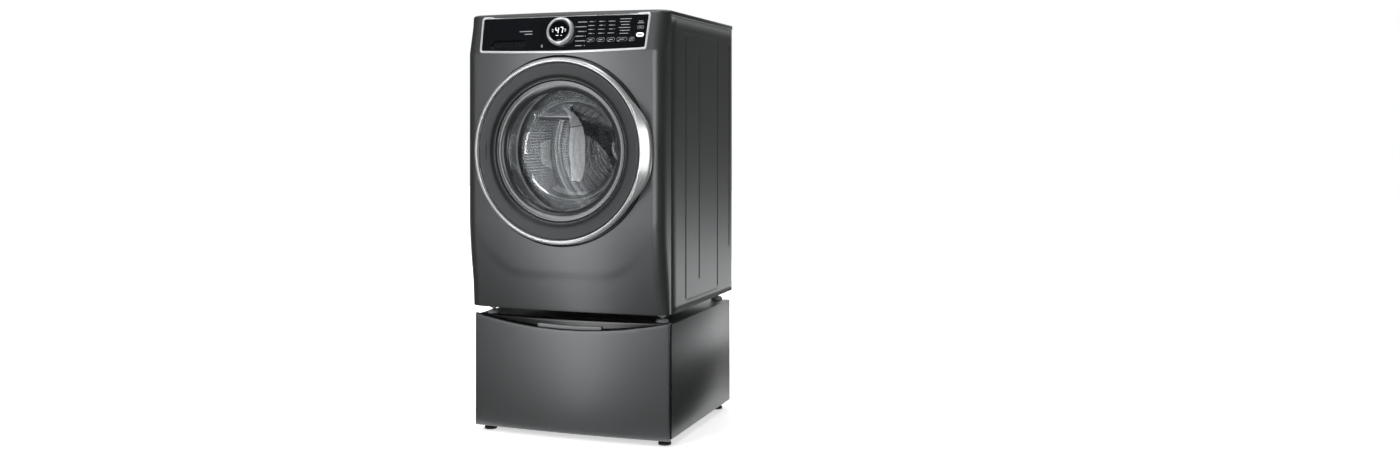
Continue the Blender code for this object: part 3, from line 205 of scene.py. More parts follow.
def spinProfile(points, centre, steps=128, closed=True):
    # points are (radius, y) round an axis along Y
    bm = bmesh.new()
    centre = Vector(centre)
    verts = [bm.verts.new((centre.x + r, centre.y + y, centre.z)) for r, y in points]
    pairs = list(zip(verts, verts[1:]))
    if closed:
        pairs.append((verts[-1], verts[0]))
    edges = [bm.edges.new(pair) for pair in pairs]
    bmesh.ops.spin(bm, geom=verts + edges, cent=centre, axis=(0, 1, 0), dvec=(0, 0, 0),
                   angle=2 * math.pi, steps=steps, use_merge=True)
    bmesh.ops.remove_doubles(bm, verts=bm.verts, dist=1e-6)
    bmesh.ops.recalc_face_normals(bm, faces=bm.faces)
    return bm


def spinUpright(points, centre, steps=48):
    # points are (radius, z) round a vertical axis
    bm = bmesh.new()
    centre = Vector(centre)
    verts = [bm.verts.new((centre.x + r, centre.y, centre.z + z)) for r, z in points]
    edges = [bm.edges.new(pair) for pair in zip(verts, verts[1:])]
    bmesh.ops.spin(bm, geom=verts + edges, cent=centre, axis=(0, 0, 1), dvec=(0, 0, 0),
                   angle=2 * math.pi, steps=steps, use_merge=True)
    return bm


def roundBox(bm, low, high, radius, segments=3):
    # a box with rounded edges, added to a bmesh
    low, high = Vector(low), Vector(high)
    made = addBlock(bm, high - low, (low + high) / 2)
    edges = list({e for v in made for e in v.link_edges})
    if radius:
        roundEdges(bm, edges, radius, segments)


def cutWith(piece, cutters):
    # cuts the pieces' shapes out and keeps the result as plain mesh
    for cutter in cutters:
        tool = piece.modifiers.new("cut", "BOOLEAN")
        tool.operation = "DIFFERENCE"
        tool.object = cutter
        tool.solver = "MANIFOLD"
    bpy.context.view_layer.update()
    result = bpy.data.meshes.new_from_object(piece.evaluated_get(bpy.context.evaluated_depsgraph_get()))
    piece.modifiers.clear()
    piece.data = result
    for cutter in cutters:
        bpy.data.objects.remove(cutter, do_unlink=True)


def helperShape(bm, name="helper"):
    bmesh.ops.recalc_face_normals(bm, faces=bm.faces)
    if bm.calc_volume(signed=True) < 0:
        bmesh.ops.reverse_faces(bm, faces=bm.faces)
    mesh = bpy.data.meshes.new(name)
    bm.to_mesh(mesh)
    bm.free()
    made = bpy.data.objects.new(name, mesh)
    bpy.context.scene.collection.objects.link(made)
    return made


def evenShading(piece):
    normals = piece.modifiers.new("even shading", "WEIGHTED_NORMAL")
    normals.keep_sharp = True


def smoothStep(t):
    t = min(1.0, max(0.0, t))
    return t * t * (3 - 2 * t)


def makeDoorGlass():
    # moulded soda-lime bowl: clear, with a reflection that grows towards its rim
    material, shader = startMaterial("sodaLimeGlass", "#F2F5F6", 0.02, 1.0)
    fresnel = addNode(material, "ShaderNodeFresnel", inputs={"IOR": 1.5})
    spread = addNode(material, "ShaderNodeMapRange",
                     inputs={"Value": fresnel.outputs["Fac"], "From Min": 0.0, "From Max": 1.0,
                             "To Min": 0.0, "To Max": 0.42})
    material.node_tree.links.new(spread.outputs["Result"], shader.inputs["Alpha"])
    return material


def makePlastic(name, colour):
    # moulded polypropylene, faintly waxy
    return makeFinish(name, colour, 0.45, 0.0, (0.9, 0.15, 0.04, (0.40, 0.52)))


def makeDrumSteel():
    # drawn stainless drum: brushed, with rows of 4 mm drain holes, 10 mm apart round the wall; the holes are
    # painted near black, as painted shade in place of open holes
    drumHoles = {"pitchU": 168.0, "pitchV": 31.0, "holeShare": 0.21}
    material, shader = startMaterial("drawnStainlessHoleShade", "#B9BBBD", 0.26, 1.0)
    coords = addNode(material, "ShaderNodeTexCoord")
    scaled = addNode(material, "ShaderNodeMapping", inputs={
        "Vector": coords.outputs["UV"], "Scale": (drumHoles["pitchU"], drumHoles["pitchV"], 1)})
    cells = addNode(material, "ShaderNodeTexVoronoi", settings={"voronoi_dimensions": "2D"},
                    inputs={"Vector": scaled.outputs["Vector"], "Scale": 1.0, "Randomness": 0.0})
    hole = addNode(material, "ShaderNodeMapRange", inputs={
        "Value": cells.outputs["Distance"], "From Min": drumHoles["holeShare"] - 0.03,
        "From Max": drumHoles["holeShare"] + 0.03, "To Min": 1.0, "To Max": 0.0})
    # near black inside each hole: painted shade, the wall is not cut through
    tone = addNode(material, "ShaderNodeMix", settings={"data_type": "RGBA"}, inputs={
        "Factor": hole.outputs["Result"], 6: toLinear("#B9BBBD"), 7: toLinear("#060606")})
    dimple = addNode(material, "ShaderNodeMapRange", inputs={
        "Value": cells.outputs["Distance"], "From Min": 0.0, "From Max": 0.5, "To Min": 0.0, "To Max": 1.0})
    lift = addNode(material, "ShaderNodeBump", inputs={
        "Height": dimple.outputs["Result"], "Strength": 0.55, "Distance": 0.0016})
    links = material.node_tree.links
    links.new(tone.outputs[2], shader.inputs["Base Color"])
    links.new(lift.outputs["Normal"], shader.inputs["Normal"])
    return material


def makeSteel(name, colour, roughness):
    # rolled or turned steel
    return makeFinish(name, colour, roughness, 1.0, (1.5, 0.1, 0.03, (roughness - 0.05, roughness + 0.08)))


def makeGalvanised():
    # hot dip zinc: pale spangle 12 mm across
    material, shader = startMaterial("galvanisedSheet", "#9EA2A5", 0.42, 0.9)
    coords = addNode(material, "ShaderNodeTexCoord")
    spangle = addNode(material, "ShaderNodeTexVoronoi",
                      inputs={"Vector": coords.outputs["Object"], "Scale": 82.0})
    tone = addNode(material, "ShaderNodeMix", settings={"data_type": "RGBA"}, inputs={
        "Factor": spangle.outputs["Color"], 6: toLinear("#93979A"), 7: toLinear("#AEB2B5")})
    spread = addNode(material, "ShaderNodeMapRange", inputs={
        "Value": spangle.outputs["Distance"], "To Min": 0.36, "To Max": 0.52})
    material.node_tree.links.new(tone.outputs[2], shader.inputs["Base Color"])
    material.node_tree.links.new(spread.outputs["Result"], shader.inputs["Roughness"])
    return material


def makeCast(name, colour, metallic, roughness, grainMm):
    # sand or die cast, with a pitted skin
    spread = (roughness - 0.08, roughness + 0.08)
    return makeFinish(name, colour, roughness, metallic, (grainMm, 0.5, 0.2, spread))


# baked metallic paint on steel sheet: a dark grey that lifts softly where it faces a light
titaniumPaint = makeFinish("titaniumPaint", "#77797A", 0.36, 0.88, (0.9, 0.05, 0.02, (0.34, 0.40)))
# injection moulded ABS painted in the same titanium, a little flatter than the sheet
doorSatin = makeFinish("titaniumSatinAbs", "#3E4041", 0.42, 0.45, (0.6, 0.06, 0.02, (0.38, 0.44)))
# silver lacquered band, brushed: fine lines run round the door, so its glints stretch across them
brushedAluminium = makeFinish("brushedSilverLacquer", "#E9EAEB", 0.24, 0.82,
                              (1.0, 0.10, 0.03, (0.20, 0.36), (0.004, 1.6, 1)))
# silver plating over a finely blasted tool, so it stays bright from all sides
silverPlating = makeFinish("satinSilverPlating", "#EDEEF0", 0.24, 0.5, (0.8, 0.05, 0.02, (0.20, 0.28)))
# turned and clear lacquered aluminium dial: rings of tool marks
spunAluminium = makeFinish("lacqueredSpunAluminium", "#DEDFE0", 0.22, 0.6,
                           (1.0, 0.12, 0.02, (0.18, 0.30), (0.01, 2.0, 1)))
# gloss black acrylic over the console: deep, with a clear reflection
glossBlack = makeFinish("glossBlackAcrylic", "#101215", 0.10, 0.0, (14.0, 0.02, 0.02),
                        Coat_Weight=0.6, Coat_Roughness=0.05)
# tinted display window
displayBlack = makeFinish("tintedAcrylic", "#08090B", 0.06, 0.0, (20.0, 0.01, 0.02))
# screen printed pale ink, lit a little from behind
printInk = makeFinish("paleScreenInk", "#8F9396", 0.55, 0.0, (0.5, 0.05, 0.01), ("#C8CCD0", 0.12))
# white LED segments behind the window
litSegments = makeFinish("ledSegments", "#F4F6F8", 0.4, 0.0, (0.8, 0.02, 0.01), ("#F2F5FA", 0.95))
# milky polycarbonate key with a lamp behind it
litKey = makeFinish("milkyPolycarbonate", "#EDEFF0", 0.3, 0.0, (2.0, 0.04, 0.01), ("#F2F4F6", 0.45))
doorGlass = makeDoorGlass()
# satin grey ring moulded round the window
greyBezel = makeFinish("greySatinAbs", "#5C5E5F", 0.24, 0.75, (1.2, 0.04, 0.02, (0.20, 0.28)))
# moulded black polypropylene with a fine spark-eroded texture
blackPlastic = makeFinish("blackPolypropylene", "#17181A", 0.55, 0.0, (0.7, 0.25, 0.04, (0.50, 0.62)))
# black ABS, polished; the same black dots the drum's lip as painted shade in place of open holes
glossBlackAndHoleShade = makeFinish("polishedBlackAbsAndHoleShade", "#0C0D0E", 0.16, 0.0, (3.0, 0.03, 0.02))
greyPlastic = makePlastic("greyPolypropylene", "#A8ABAD")
whitePlastic = makePlastic("whitePolypropylene", "#D8D9D6")
gripGrey = makePlastic("gripGreyAbs", "#8F9294")
# EPDM bellows, grey and matt with a slight bloom
gasketRubber = makeFinish("greyEpdm", "#6E7072", 0.62, 0.0, (1.6, 0.2, 0.05, (0.55, 0.70)),
                          Sheen_Weight=0.15)
# carbon black rubber of the belt; the same black is laid in the door's recess and at the window's rim as
# painted shade
blackRubberAndGapShade = makeFinish("blackRubberAndGapShade", "#141516", 0.7, 0.0, (0.8, 0.3, 0.05, (0.62, 0.80)))
drumSteelHoleShade = makeDrumSteel()
brightSteel = makeSteel("brightSteel", "#A9ABAE", 0.32)
galvanised = makeGalvanised()
castAluminium = makeCast("dieCastAluminium", "#9A9C9E", 0.9, 0.45, 1.4)
castIron = makeCast("castIron", "#3C3D3E", 0.6, 0.75, 2.5)
print("finishes made")


panel = {
    "halfWidth": 0.343, "seamY": -0.270, "faceY": -0.340, "bow": 0.015, "cornerX": 0.043, "cornerY": 0.040,
    "sweepStart": 0.700, "sweepBack": 0.038, "bottomZ": 0.412, "topZ": 1.360, "sheet": 0.0012,
    "consoleLow": 1.234, "consoleHigh": 1.352, "consoleLean": 0.0295, "topRound": 0.009,
    "bottomRound": 0.004,
    "creaseZ": 0.530, "creaseRise": 0.16, "creaseDepth": 0.0017, "landingY": -0.338, "recessRadius": 0.3012,
    "holeRadius": 0.232, "doorZ": 0.921,
}
straightHalf = panel["halfWidth"] - panel["cornerX"]


def consoleLean(z):
    p = panel
    return p["consoleLean"] * (z - p["consoleLow"]) / (p["consoleHigh"] - p["consoleLow"])


def faceLine(z):
    p = panel
    if z < p["sweepStart"]:
        share = (p["sweepStart"] - max(z, p["bottomZ"])) / (p["sweepStart"] - p["bottomZ"])
        return p["faceY"] + p["sweepBack"] * share ** 1.5
    if z > p["consoleLow"]:
        return p["faceY"] + consoleLean(z)
    return p["faceY"]


def bowAt(x):
    return panel["bow"] * (1 - (x / straightHalf) ** 2)


def consoleY(x, z):
    return panel["faceY"] + consoleLean(z) - bowAt(x)


def creaseLift(x, z):
    # the belly that hangs under the door: it ends in a soft step
    p = panel
    away = max(0.0, abs(x) - 0.12) / 0.20
    edge = p["creaseZ"] + p["creaseRise"] * away ** 2.4
    rise = smoothStep((z - edge) / 0.034 + 0.5)
    fade = 1 - 0.75 * smoothStep((abs(x) - 0.15) / 0.14)
    fall = math.exp(-max(0.0, z - edge) / 0.11) * smoothStep((0.80 - z) / 0.1)
    return p["creaseDepth"] * fade * rise * fall


def buildFaceBlock(inset, lowZ, highZ, seam):
    p = panel
    half = [(straightHalf * i / 26, 0) for i in range(27)]
    half += [(straightHalf, 90 * i / 12) for i in range(1, 13)]
    plan = [(x, t, -1) for x, t in half[:0:-1]] + [(x, t, 1) for x, t in half]
    plan = [(0, None, -1)] + plan + [(0, None, 1)]
    if inset:
        rows = [(lowZ, 0.0), (p["bottomZ"], 0.0)]
    else:
        foot = p["bottomRound"]
        rows = [(lowZ, foot)]
        rows += [(lowZ + foot * (1 - cosDeg(a)), foot * (1 - sinDeg(a))) for a in (30, 60)]
        rows += [(lowZ + foot, 0.0)]
    z = rows[-1][0]
    while z < highZ - p["topRound"] - 0.012:
        z += 0.008 if 0.48 < z < 0.80 else 0.013  # finer rows under the crease
        rows.append((z, 0.0))
    rows += [(p["consoleLow"], 0.0)]
    fixed = 0 if inset else 4
    rows = rows[:fixed] + sorted(rows[fixed:], key=lambda row: row[0])
    for i in range(6):
        a = 90 * i / 5
        rows.append((highZ - p["topRound"] + p["topRound"] * sinDeg(a), p["topRound"] * (1 - cosDeg(a))))
    bm = bmesh.new()
    bmesh.ops.create_grid(bm, x_segments=len(plan) - 1, y_segments=len(rows) - 1, size=1.0)
    for v in bm.verts:
        i = round((v.co.x + 1) / 2 * (len(plan) - 1))
        j = round((v.co.y + 1) / 2 * (len(rows) - 1))
        x0, turn, side = plan[i]
        z, back = rows[j]
        pull = 1 - back / p["halfWidth"]
        if turn is None:
            v.co = (side * (p["halfWidth"] - inset) * pull, seam, z)
            continue
        t = math.radians(turn)
        turnBack = min(p["cornerY"], p["seamY"] - 0.0083 - faceLine(z))
        x = (x0 + (p["cornerX"] - inset) * math.sin(t)) * (pull if turn else 1)
        y = faceLine(z) - bowAt(x0) + inset + (turnBack - inset) * (1 - math.cos(t))
        y += back - creaseLift(x, z) * math.cos(t)
        v.co = (side * x, y, z)
    boundary = [e for e in bm.edges if e.is_boundary]
    grown = bmesh.ops.extrude_edge_only(bm, edges=boundary)["geom"]
    for v in onlyVerts(grown):
        v.co.y = seam + 0.004 if inset else seam + 0.0002
    bmesh.ops.remove_doubles(bm, verts=bm.verts, dist=2e-5)
    bmesh.ops.holes_fill(bm, edges=[e for e in bm.edges if e.is_boundary], sides=0)
    return bm


def cylinderY(radius, y0, y1, x, z, steps=128):
    bm = bmesh.new()
    addCone(bm, (x, (y0 + y1) / 2, z), (radius, radius), y1 - y0, steps)
    return bm


def consoleOutline(inset, halfLow=0.290, halfHigh=0.294, sag=0.006, radius=0.010, steps=8):
    # trapezium with round corners and a sagging lower edge, as (x, z) points
    low = panel["consoleLow"] + inset
    high = panel["consoleHigh"] - inset
    hl, hh = halfLow - inset, halfHigh - inset
    r = max(0.003, radius - inset * 0.7)
    corners = [(hl - r, low + r, -90), (hh - r, high - r, 0),
               (-hh + r, high - r, 90), (-hl + r, low + r, 180)]
    points = []
    for cx, cz, start in corners:
        for i in range(steps + 1):
            a = math.radians(start + 90 * i / steps)
            points.append((cx + r * math.cos(a), cz + r * math.sin(a)))
    span = hl - r
    count = 28
    points += [(x, low - sag * (1 - (x / span) ** 2))
               for x in (-span + 2 * span * i / count for i in range(1, count))]
    return points


def flatFace(points, y=0.0):
    bm = bmesh.new()
    bm.faces.new([bm.verts.new((x, y, z)) for x, z in points])
    return bm


def prismShape(points, y0, y1):
    bm = flatFace(points, y0)
    grown = bmesh.ops.extrude_face_region(bm, geom=bm.faces[:])["geom"]
    bmesh.ops.translate(bm, vec=(0, y1 - y0, 0), verts=onlyVerts(grown))
    return bm


def buildFrontPanel():
    p = panel
    sheet, landing, doorZ = p["sheet"], p["landingY"], p["doorZ"]
    ahead = -0.5  # a cut starts well in front of the face
    outer = helperShape(buildFaceBlock(0.0, p["bottomZ"], p["topZ"], p["seamY"] - 0.0005), "frontPanelLook")
    inner = helperShape(buildFaceBlock(sheet, p["bottomZ"] - 0.02, p["topZ"] - sheet, p["seamY"] + 0.012))
    cutWith(inner, [helperShape(cylinderY(p["recessRadius"] + sheet, ahead, landing + sheet, 0, doorZ))])
    recess = helperShape(cylinderY(p["recessRadius"], ahead, landing, 0, doorZ, 160))
    hole = helperShape(cylinderY(p["holeRadius"], ahead, p["seamY"], 0, doorZ))
    window = helperShape(prismShape(consoleOutline(0.0041), ahead, -0.28))
    slotShape = bmesh.new()
    roundBox(slotShape, (0.240, landing - 0.01, doorZ - 0.014), (0.256, landing + 0.01, doorZ + 0.014), 0)
    cutWith(outer, [recess, inner, hole, window, helperShape(slotShape)])
    mesh = outer.data
    mesh.materials.clear()
    mesh.materials.append(titaniumPaint)
    bm = bmesh.new()
    bm.from_mesh(mesh)
    bmesh.ops.remove_doubles(bm, verts=bm.verts, dist=2e-5)
    bm.to_mesh(mesh)
    bm.free()
    mesh.shade_smooth()
    mesh.set_sharp_from_angle(angle=math.radians(28))
    evenShading(outer)
    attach(outer, "machine")
    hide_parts("front_panel")


def buildRecessShadeStrip():
    # black strip that lines the door's recess, its lip just under the bowed face: painted shade, as the
    # recess itself is painted titanium and only its shadow is dark
    p = panel
    out, wall, foot, steps = p["recessRadius"] - 0.0001, 0.0009, 0.0060, 192
    floor = p["landingY"] - 0.0001
    section = ((out, None), (out, floor), (out - foot, floor), (out - foot, floor - wall),
               (out - wall, floor - wall), (out - wall, None))  # none stands for the lip
    bm = bmesh.new()
    loops = []
    for i in range(steps):
        a = 2 * math.pi * i / steps
        x, z = out * math.cos(a), p["doorZ"] + out * math.sin(a)
        face = faceLine(z) - p["bow"] * (1 - min(1.0, (x / straightHalf) ** 2)) - creaseLift(x, z)
        lip = min(face + 0.0008, floor - 0.0012)
        loops.append([bm.verts.new((r * math.cos(a), lip if y is None else y, p["doorZ"] + r * math.sin(a)))
                      for r, y in section])
    for here, there in zip(loops, loops[1:] + loops[:1]):
        for i in range(len(section)):
            j = (i + 1) % len(section)
            bm.faces.new((here[i], here[j], there[j], there[i]))
    addPiece(bm, "doorRecessShadeStrip", blackRubberAndGapShade, "machine", smoothDeg=40)


buildFrontPanel()
buildRecessShadeStrip()
print("front panel built")


cabinet = {
    "frontY": -0.270, "backY": 0.355, "bottomZ": 0.412, "topZ": 1.3417, "corner": 0.010, "sheet": 0.0012,
    "grooves": ((-0.136, 0.441, 1.295), (-0.006, 0.491, 1.247), (0.184, 0.445, 1.294),
                (0.314, 0.570, 1.295)),
    "grooveHalf": 0.0065, "grooveDepth": 0.0028, "tieLevels": (0.441, 1.295),
}


def grooveAt(y, z):
    c = cabinet
    depth = 0.0
    for y0, low, high in c["grooves"]:
        across = smoothStep(1 - abs(y - y0) / c["grooveHalf"])
        along = smoothStep((z - low) / 0.012) * smoothStep((high - z) / 0.012)
        depth = max(depth, across * along)
    ties = 0.0
    for level in c["tieLevels"]:  # faint creases between the first and third grooves
        if -0.136 < y < 0.184:
            ties = max(ties, 0.22 * smoothStep(1 - abs(z - level) / 0.005))
    return c["grooveDepth"] * max(depth, ties)


def buildCabinet():
    c = cabinet
    ys = {round(c["frontY"] + (c["backY"] - c["corner"] - c["frontY"]) * i / 12, 4) for i in range(13)}
    for y0, _, _ in c["grooves"]:
        ys |= {round(y0 + d * 0.0013, 4) for d in range(-6, 7)}
    ys = sorted(y for y in ys if y <= c["backY"] - c["corner"])
    zs = {round(c["bottomZ"] + (c["topZ"] - c["bottomZ"]) * i / 24, 4) for i in range(25)}
    for _, low, high in c["grooves"]:
        zs |= {round(low + d * 0.002, 4) for d in range(-1, 8)}
        zs |= {round(high - d * 0.002, 4) for d in range(-1, 8)}
    zs |= {round(level + d * 0.0015, 4) for level in c["tieLevels"] for d in range(-4, 5)}
    zs = sorted(z for z in zs if c["bottomZ"] <= z <= c["topZ"])
    side = [(panel["halfWidth"], y, True) for y in ys]
    turn = [(panel["halfWidth"] - c["corner"] * (1 - cosDeg(a)),
             c["backY"] - c["corner"] + c["corner"] * sinDeg(a), False) for a in (18, 36, 54, 72, 90)]
    plan = side + turn
    plan = [(-x, y, s) for x, y, s in plan] + [(x, y, s) for x, y, s in plan[::-1]]
    bm = bmesh.new()
    bmesh.ops.create_grid(bm, x_segments=len(plan) - 1, y_segments=len(zs) - 1, size=1.0)
    for v in bm.verts:
        x, y, onSide = plan[round((v.co.x + 1) / 2 * (len(plan) - 1))]
        z = zs[round((v.co.y + 1) / 2 * (len(zs) - 1))]
        if onSide:
            x -= math.copysign(grooveAt(y, z), x)
        v.co = (x, y, z)
    bmesh.ops.recalc_face_normals(bm, faces=bm.faces)
    turnOutward(bm, next(f for f in bm.faces if f.calc_center_median().x > 0.34), (1, 0, 0))
    piece = addPiece(bm, "cabinetWrapLook", titaniumPaint, "machine", ("cabinet_wrap",),
                     40, recalc=False)
    thicken(piece, "sheet", c["sheet"])


def buildTop():
    topCover = {"low": (-0.343, -0.270, 1.3425), "high": (0.343, 0.359, 1.360), "round": 0.0055}
    bm = bmesh.new()
    roundBox(bm, topCover["low"], topCover["high"], topCover["round"], 5)
    addPiece(bm, "topCoverLook", titaniumPaint, "machine", ("top_cover",), 50)


def buildBack():
    rear = {"y0": 0.3553, "y1": 0.3835, "low": 0.480, "high": 1.220, "half": 0.235, "ribs": 5, "vents": 12}
    bm = bmesh.new()
    roundBox(bm, (-rear["half"], rear["y0"], rear["low"]), (rear["half"], rear["y1"] - 0.002, rear["high"]),
             0.006, 4)
    addPiece(bm, "rearCoverLook", galvanised, "machine", ("rear_cover",), 40)
    bm = bmesh.new()
    for i in range(rear["ribs"]):  # pressed stiffening ribs
        z = rear["low"] + 0.09 + i * 0.14
        roundBox(bm, (-0.19, rear["y1"] - 0.0022, z), (0.19, rear["y1"] + 0.0008, z + 0.022), 0.0014, 3)
    addPiece(bm, "rearCoverRibs", galvanised, "machine", smoothDeg=40)
    bm = bmesh.new()
    for i in range(rear["vents"]):
        x = -0.11 + i * 0.02
        roundBox(bm, (x, 0.3548, 1.262), (x + 0.006, 0.3562, 1.302), 0.0005, 1)
    addPiece(bm, "rearVentSlots", blackPlastic, "machine", smoothDeg=40)
    bm = bmesh.new()
    for x in (-0.222, 0.222):  # screws round the cover
        for z in (0.50, 0.73, 0.97, 1.20):
            addCone(bm, (x, rear["y1"] - 0.0008, z), (0.0050, 0.0036), 0.0024, 16, -90)
    addPiece(bm, "rearScrews", brightSteel, "machine", smoothDeg=40)


def buildBase():
    refineNode("base_pan", galvanised, "machine", 0.6)
    feet = {"washer": ((-0.298, -0.230), (0.298, -0.230), (-0.298, 0.310), (0.298, 0.310)),
            "pedestal": ((-0.308, -0.234), (0.308, -0.234), (-0.308, 0.277), (0.308, 0.277))}
    low = 0.3813
    profile = [(0, 0), (0.0185, 0), (0.0198, 0.0012), (0.0198, 0.004), (0.0188, 0.0085), (0.0172, 0.0098),
               (0.0068, 0.0118)]
    for turnCount in range(5):  # thread on the stem
        z = 0.0125 + turnCount * 0.0012
        profile += [(0.0066, z), (0.0058, z + 0.0006)]
    profile += [(0.0066, 0.0186), (0.0126, 0.0190), (0.0131, 0.0196), (0.0131, 0.0300), (0.0126, 0.0304),
                (0, 0.0304)]
    for i, (x, y) in enumerate(feet["washer"], 1):
        bm = spinUpright(profile, (x, y, low), 40)
        addPiece(bm, f"washerFoot{i}Look", greyPlastic, "machine", (f"washer_foot_{i}",), 40)
    profile = [(0, 0), (0.0196, 0), (0.0209, 0.0012), (0.0207, 0.005), (0.0198, 0.0078), (0.0182, 0.0090),
               (0.0078, 0.0110), (0.0076, 0.0162), (0.0146, 0.0168), (0.0151, 0.0175), (0.0151, 0.0240),
               (0.0146, 0.0246), (0, 0.0246)]
    for i, (x, y) in enumerate(feet["pedestal"], 1):
        bm = spinUpright(profile, (x, y, 0), 40)
        addPiece(bm, f"pedestalFoot{i}Look", blackPlastic, "machine", (f"pedestal_foot_{i}",),
                 40)


buildCabinet()
buildTop()
buildBack()
buildBase()
print("cabinet, top and back built")


def curveOntoConsole(bm):
    # drops flat work, whose y is its height off the face, onto the leaning bowed console
    for v in bm.verts:
        v.co.y = v.co.y + consoleY(v.co.x, v.co.z)


def curvedPlate(points, y0, y1, holes, name, material, body, node, roundMm):
    # a flat plate with its holes cut, then sliced upright so that it can take the console's bow
    plate = helperShape(prismShape(points, y0, y1), name + "Blank")
    cutWith(plate, [helperShape(hole) for hole in holes])
    bm = bmesh.new()
    bm.from_mesh(plate.data)
    bpy.data.objects.remove(plate, do_unlink=True)
    bmesh.ops.remove_doubles(bm, verts=bm.verts, dist=1e-5)
    flat = [e for e in bm.edges if len(e.link_faces) == 2 and e.calc_face_angle(0) < math.radians(1)]
    bmesh.ops.dissolve_edges(bm, edges=flat, use_verts=False)
    rim = [e for e in sharpEdges(bm, 60) if all(v.co.y < y0 + 1e-5 for v in e.verts)]
    roundEdges(bm, rim, roundMm / 1000, 2)
    low, high = min(v.co.x for v in bm.verts), max(v.co.x for v in bm.verts)
    slices = max(2, round((high - low) / 0.009))
    for i in range(1, slices):
        bmesh.ops.bisect_plane(bm, geom=bm.verts[:] + bm.edges[:] + bm.faces[:], dist=1e-6,
                               plane_co=(low + (high - low) * i / slices, 0, 0), plane_no=(1, 0, 0))
    curveOntoConsole(bm)
    piece = addPiece(bm, name, material, body, (node,), 35)
    evenShading(piece)  # the face stays flat up to its rounded edges


def buildConsoleTrim():
    trim = {"width": 0.0075, "proud": 0.0030}
    bm = bmesh.new()
    rings = []
    section = [(0.0, -0.0004)]
    section += [(trim["width"] * (0.5 - 0.5 * cosDeg(a)), -0.0006 - (trim["proud"] - 0.0006) * sinDeg(a))
                for a in (0, 22, 45, 68, 90, 112, 135, 158, 180)]
    section += [(trim["width"], -0.0004)]
    for inset, y in section:
        loop = [bm.verts.new((x, y, z)) for x, z in consoleOutline(inset)]
        rings.append([bm.edges.new(pair) for pair in zip(loop, loop[1:] + loop[:1])])
    for a, b in zip(rings, rings[1:] + rings[:1]):
        bmesh.ops.bridge_loops(bm, edges=a + b)
    curveOntoConsole(bm)
    addPiece(bm, "consoleTrimLook", silverPlating, "machine", ("console_trim",), 60)


def slotPoints(cx, cz, width, height, steps=6):
    r = height / 2
    points = []
    for sx, start in ((1, -90), (-1, 90)):
        for i in range(steps + 1):
            a = math.radians(start + 180 * i / steps)
            points.append((cx + sx * (width / 2 - r) + r * math.cos(a), cz + r * math.sin(a)))
    return points


def addOutlineRing(bm, points, width, y):
    # a printed line along a closed outline
    centre = Vector((sum(p[0] for p in points) / len(points), sum(p[1] for p in points) / len(points)))
    rings = []
    for shift in (0.0, width):
        loop = []
        for x, z in points:
            away = Vector((x, z)) - centre
            away = away * (1 - shift / max(away.length, 1e-6))
            loop.append(bm.verts.new((centre.x + away.x, y, centre.y + away.y)))
        rings.append([bm.edges.new(pair) for pair in zip(loop, loop[1:] + loop[:1])])
    bmesh.ops.bridge_loops(bm, edges=rings[0] + rings[1])


def addDash(bm, x, z, width, height, y=0.0):
    made = bmesh.ops.create_grid(bm, x_segments=max(1, round(width / 0.01)), y_segments=1, size=0.5)["verts"]
    for v in made:
        v.co = (x + v.co.x * width, y, z + v.co.y * height)


def addPrint(bm, name, material, body):
    # a print lies on its panel as a skin of ink, facing out
    bmesh.ops.recalc_face_normals(bm, faces=bm.faces)
    inward = [face for face in bm.faces if face.normal.y > 0]
    bmesh.ops.reverse_faces(bm, faces=inward)
    piece = addPiece(bm, name, material, body, smoothDeg=60, recalc=False)
    thicken(piece, "ink", 0.00012)


def buildConsolePrint():
    bm = bmesh.new()
    off = -0.00075  # ahead of the fascia
    # programme names left of the keys, their dots, and the option columns, as plain bars
    for row in range(6):
        z = 1.2500 + row * 0.0150
        addDash(bm, 0.0650 + 0.004 * (row % 2), z, 0.022 + 0.006 * ((row * 2) % 3), 0.0026, off)
        addDash(bm, 0.0845, z, 0.0026, 0.0026, off)
    for column, x in enumerate((0.1040, 0.1375, 0.1710)):
        for row in range(4):
            z = 1.2880 + row * 0.0125
            addDash(bm, x - 0.003, z, 0.013 + 0.003 * ((row + column) % 3), 0.0022, off)
            addDash(bm, x + 0.0085, z, 0.0020, 0.0020, off)
    for row in range(6):
        z = 1.2860 + row * 0.0092
        addDash(bm, 0.2120 + 0.002 * (row % 2), z, 0.028 + 0.005 * (row % 3), 0.0022, off)
    addDash(bm, 0.2640, 1.3180, 0.020, 0.0024, off)
    addDash(bm, 0.2640, 1.3235, 0.014, 0.0020, off)
    for row in range(2):  # hint text over the drawer
        addDash(bm, -0.1250 + row * 0.010, 1.3000 - row * 0.009, 0.046 - row * 0.018, 0.0026, off)
    addDash(bm, -0.0620, 1.2500, 0.0060, 0.0050, off)  # child lock mark
    addOutlineRing(bm, slotPoints(-0.0620, 1.2550, 0.0044, 0.0044), 0.0008, off)
    curveOntoConsole(bm)
    addPrint(bm, "consolePrint", printInk, "machine")


keyPlaces = (("temperature", 0.1040, 1.2675, 0.0285, 0.014), ("spin", 0.1375, 1.2675, 0.0285, 0.014),
             ("soil", 0.1710, 1.2675, 0.0285, 0.014), ("options", 0.2070, 1.2675, 0.0360, 0.014),
             ("delay", 0.2390, 1.2675, 0.0200, 0.014), ("power", 0.2640, 1.3040, 0.0240, 0.012),
             ("start", 0.2640, 1.2810, 0.0240, 0.013))


def buildKeys():
    for name, x, z, width, height in keyPlaces:
        finish = litKey if name == "start" else glossBlack
        refineNode("button_" + name, finish, "key_" + name, 0.25, 40)
        bm = bmesh.new()
        if name == "start":
            addDash(bm, x, z, 0.012, 0.0026, -0.00145)
            finish = blackPlastic
        else:
            addOutlineRing(bm, slotPoints(x, z, width - 0.0022, height - 0.0022), 0.0008, -0.00145)
            addDash(bm, x, z, width * 0.46, 0.0024, -0.00145)
            finish = printInk
        curveOntoConsole(bm)
        addPrint(bm, name + "KeyPrint", finish, "key_" + name)


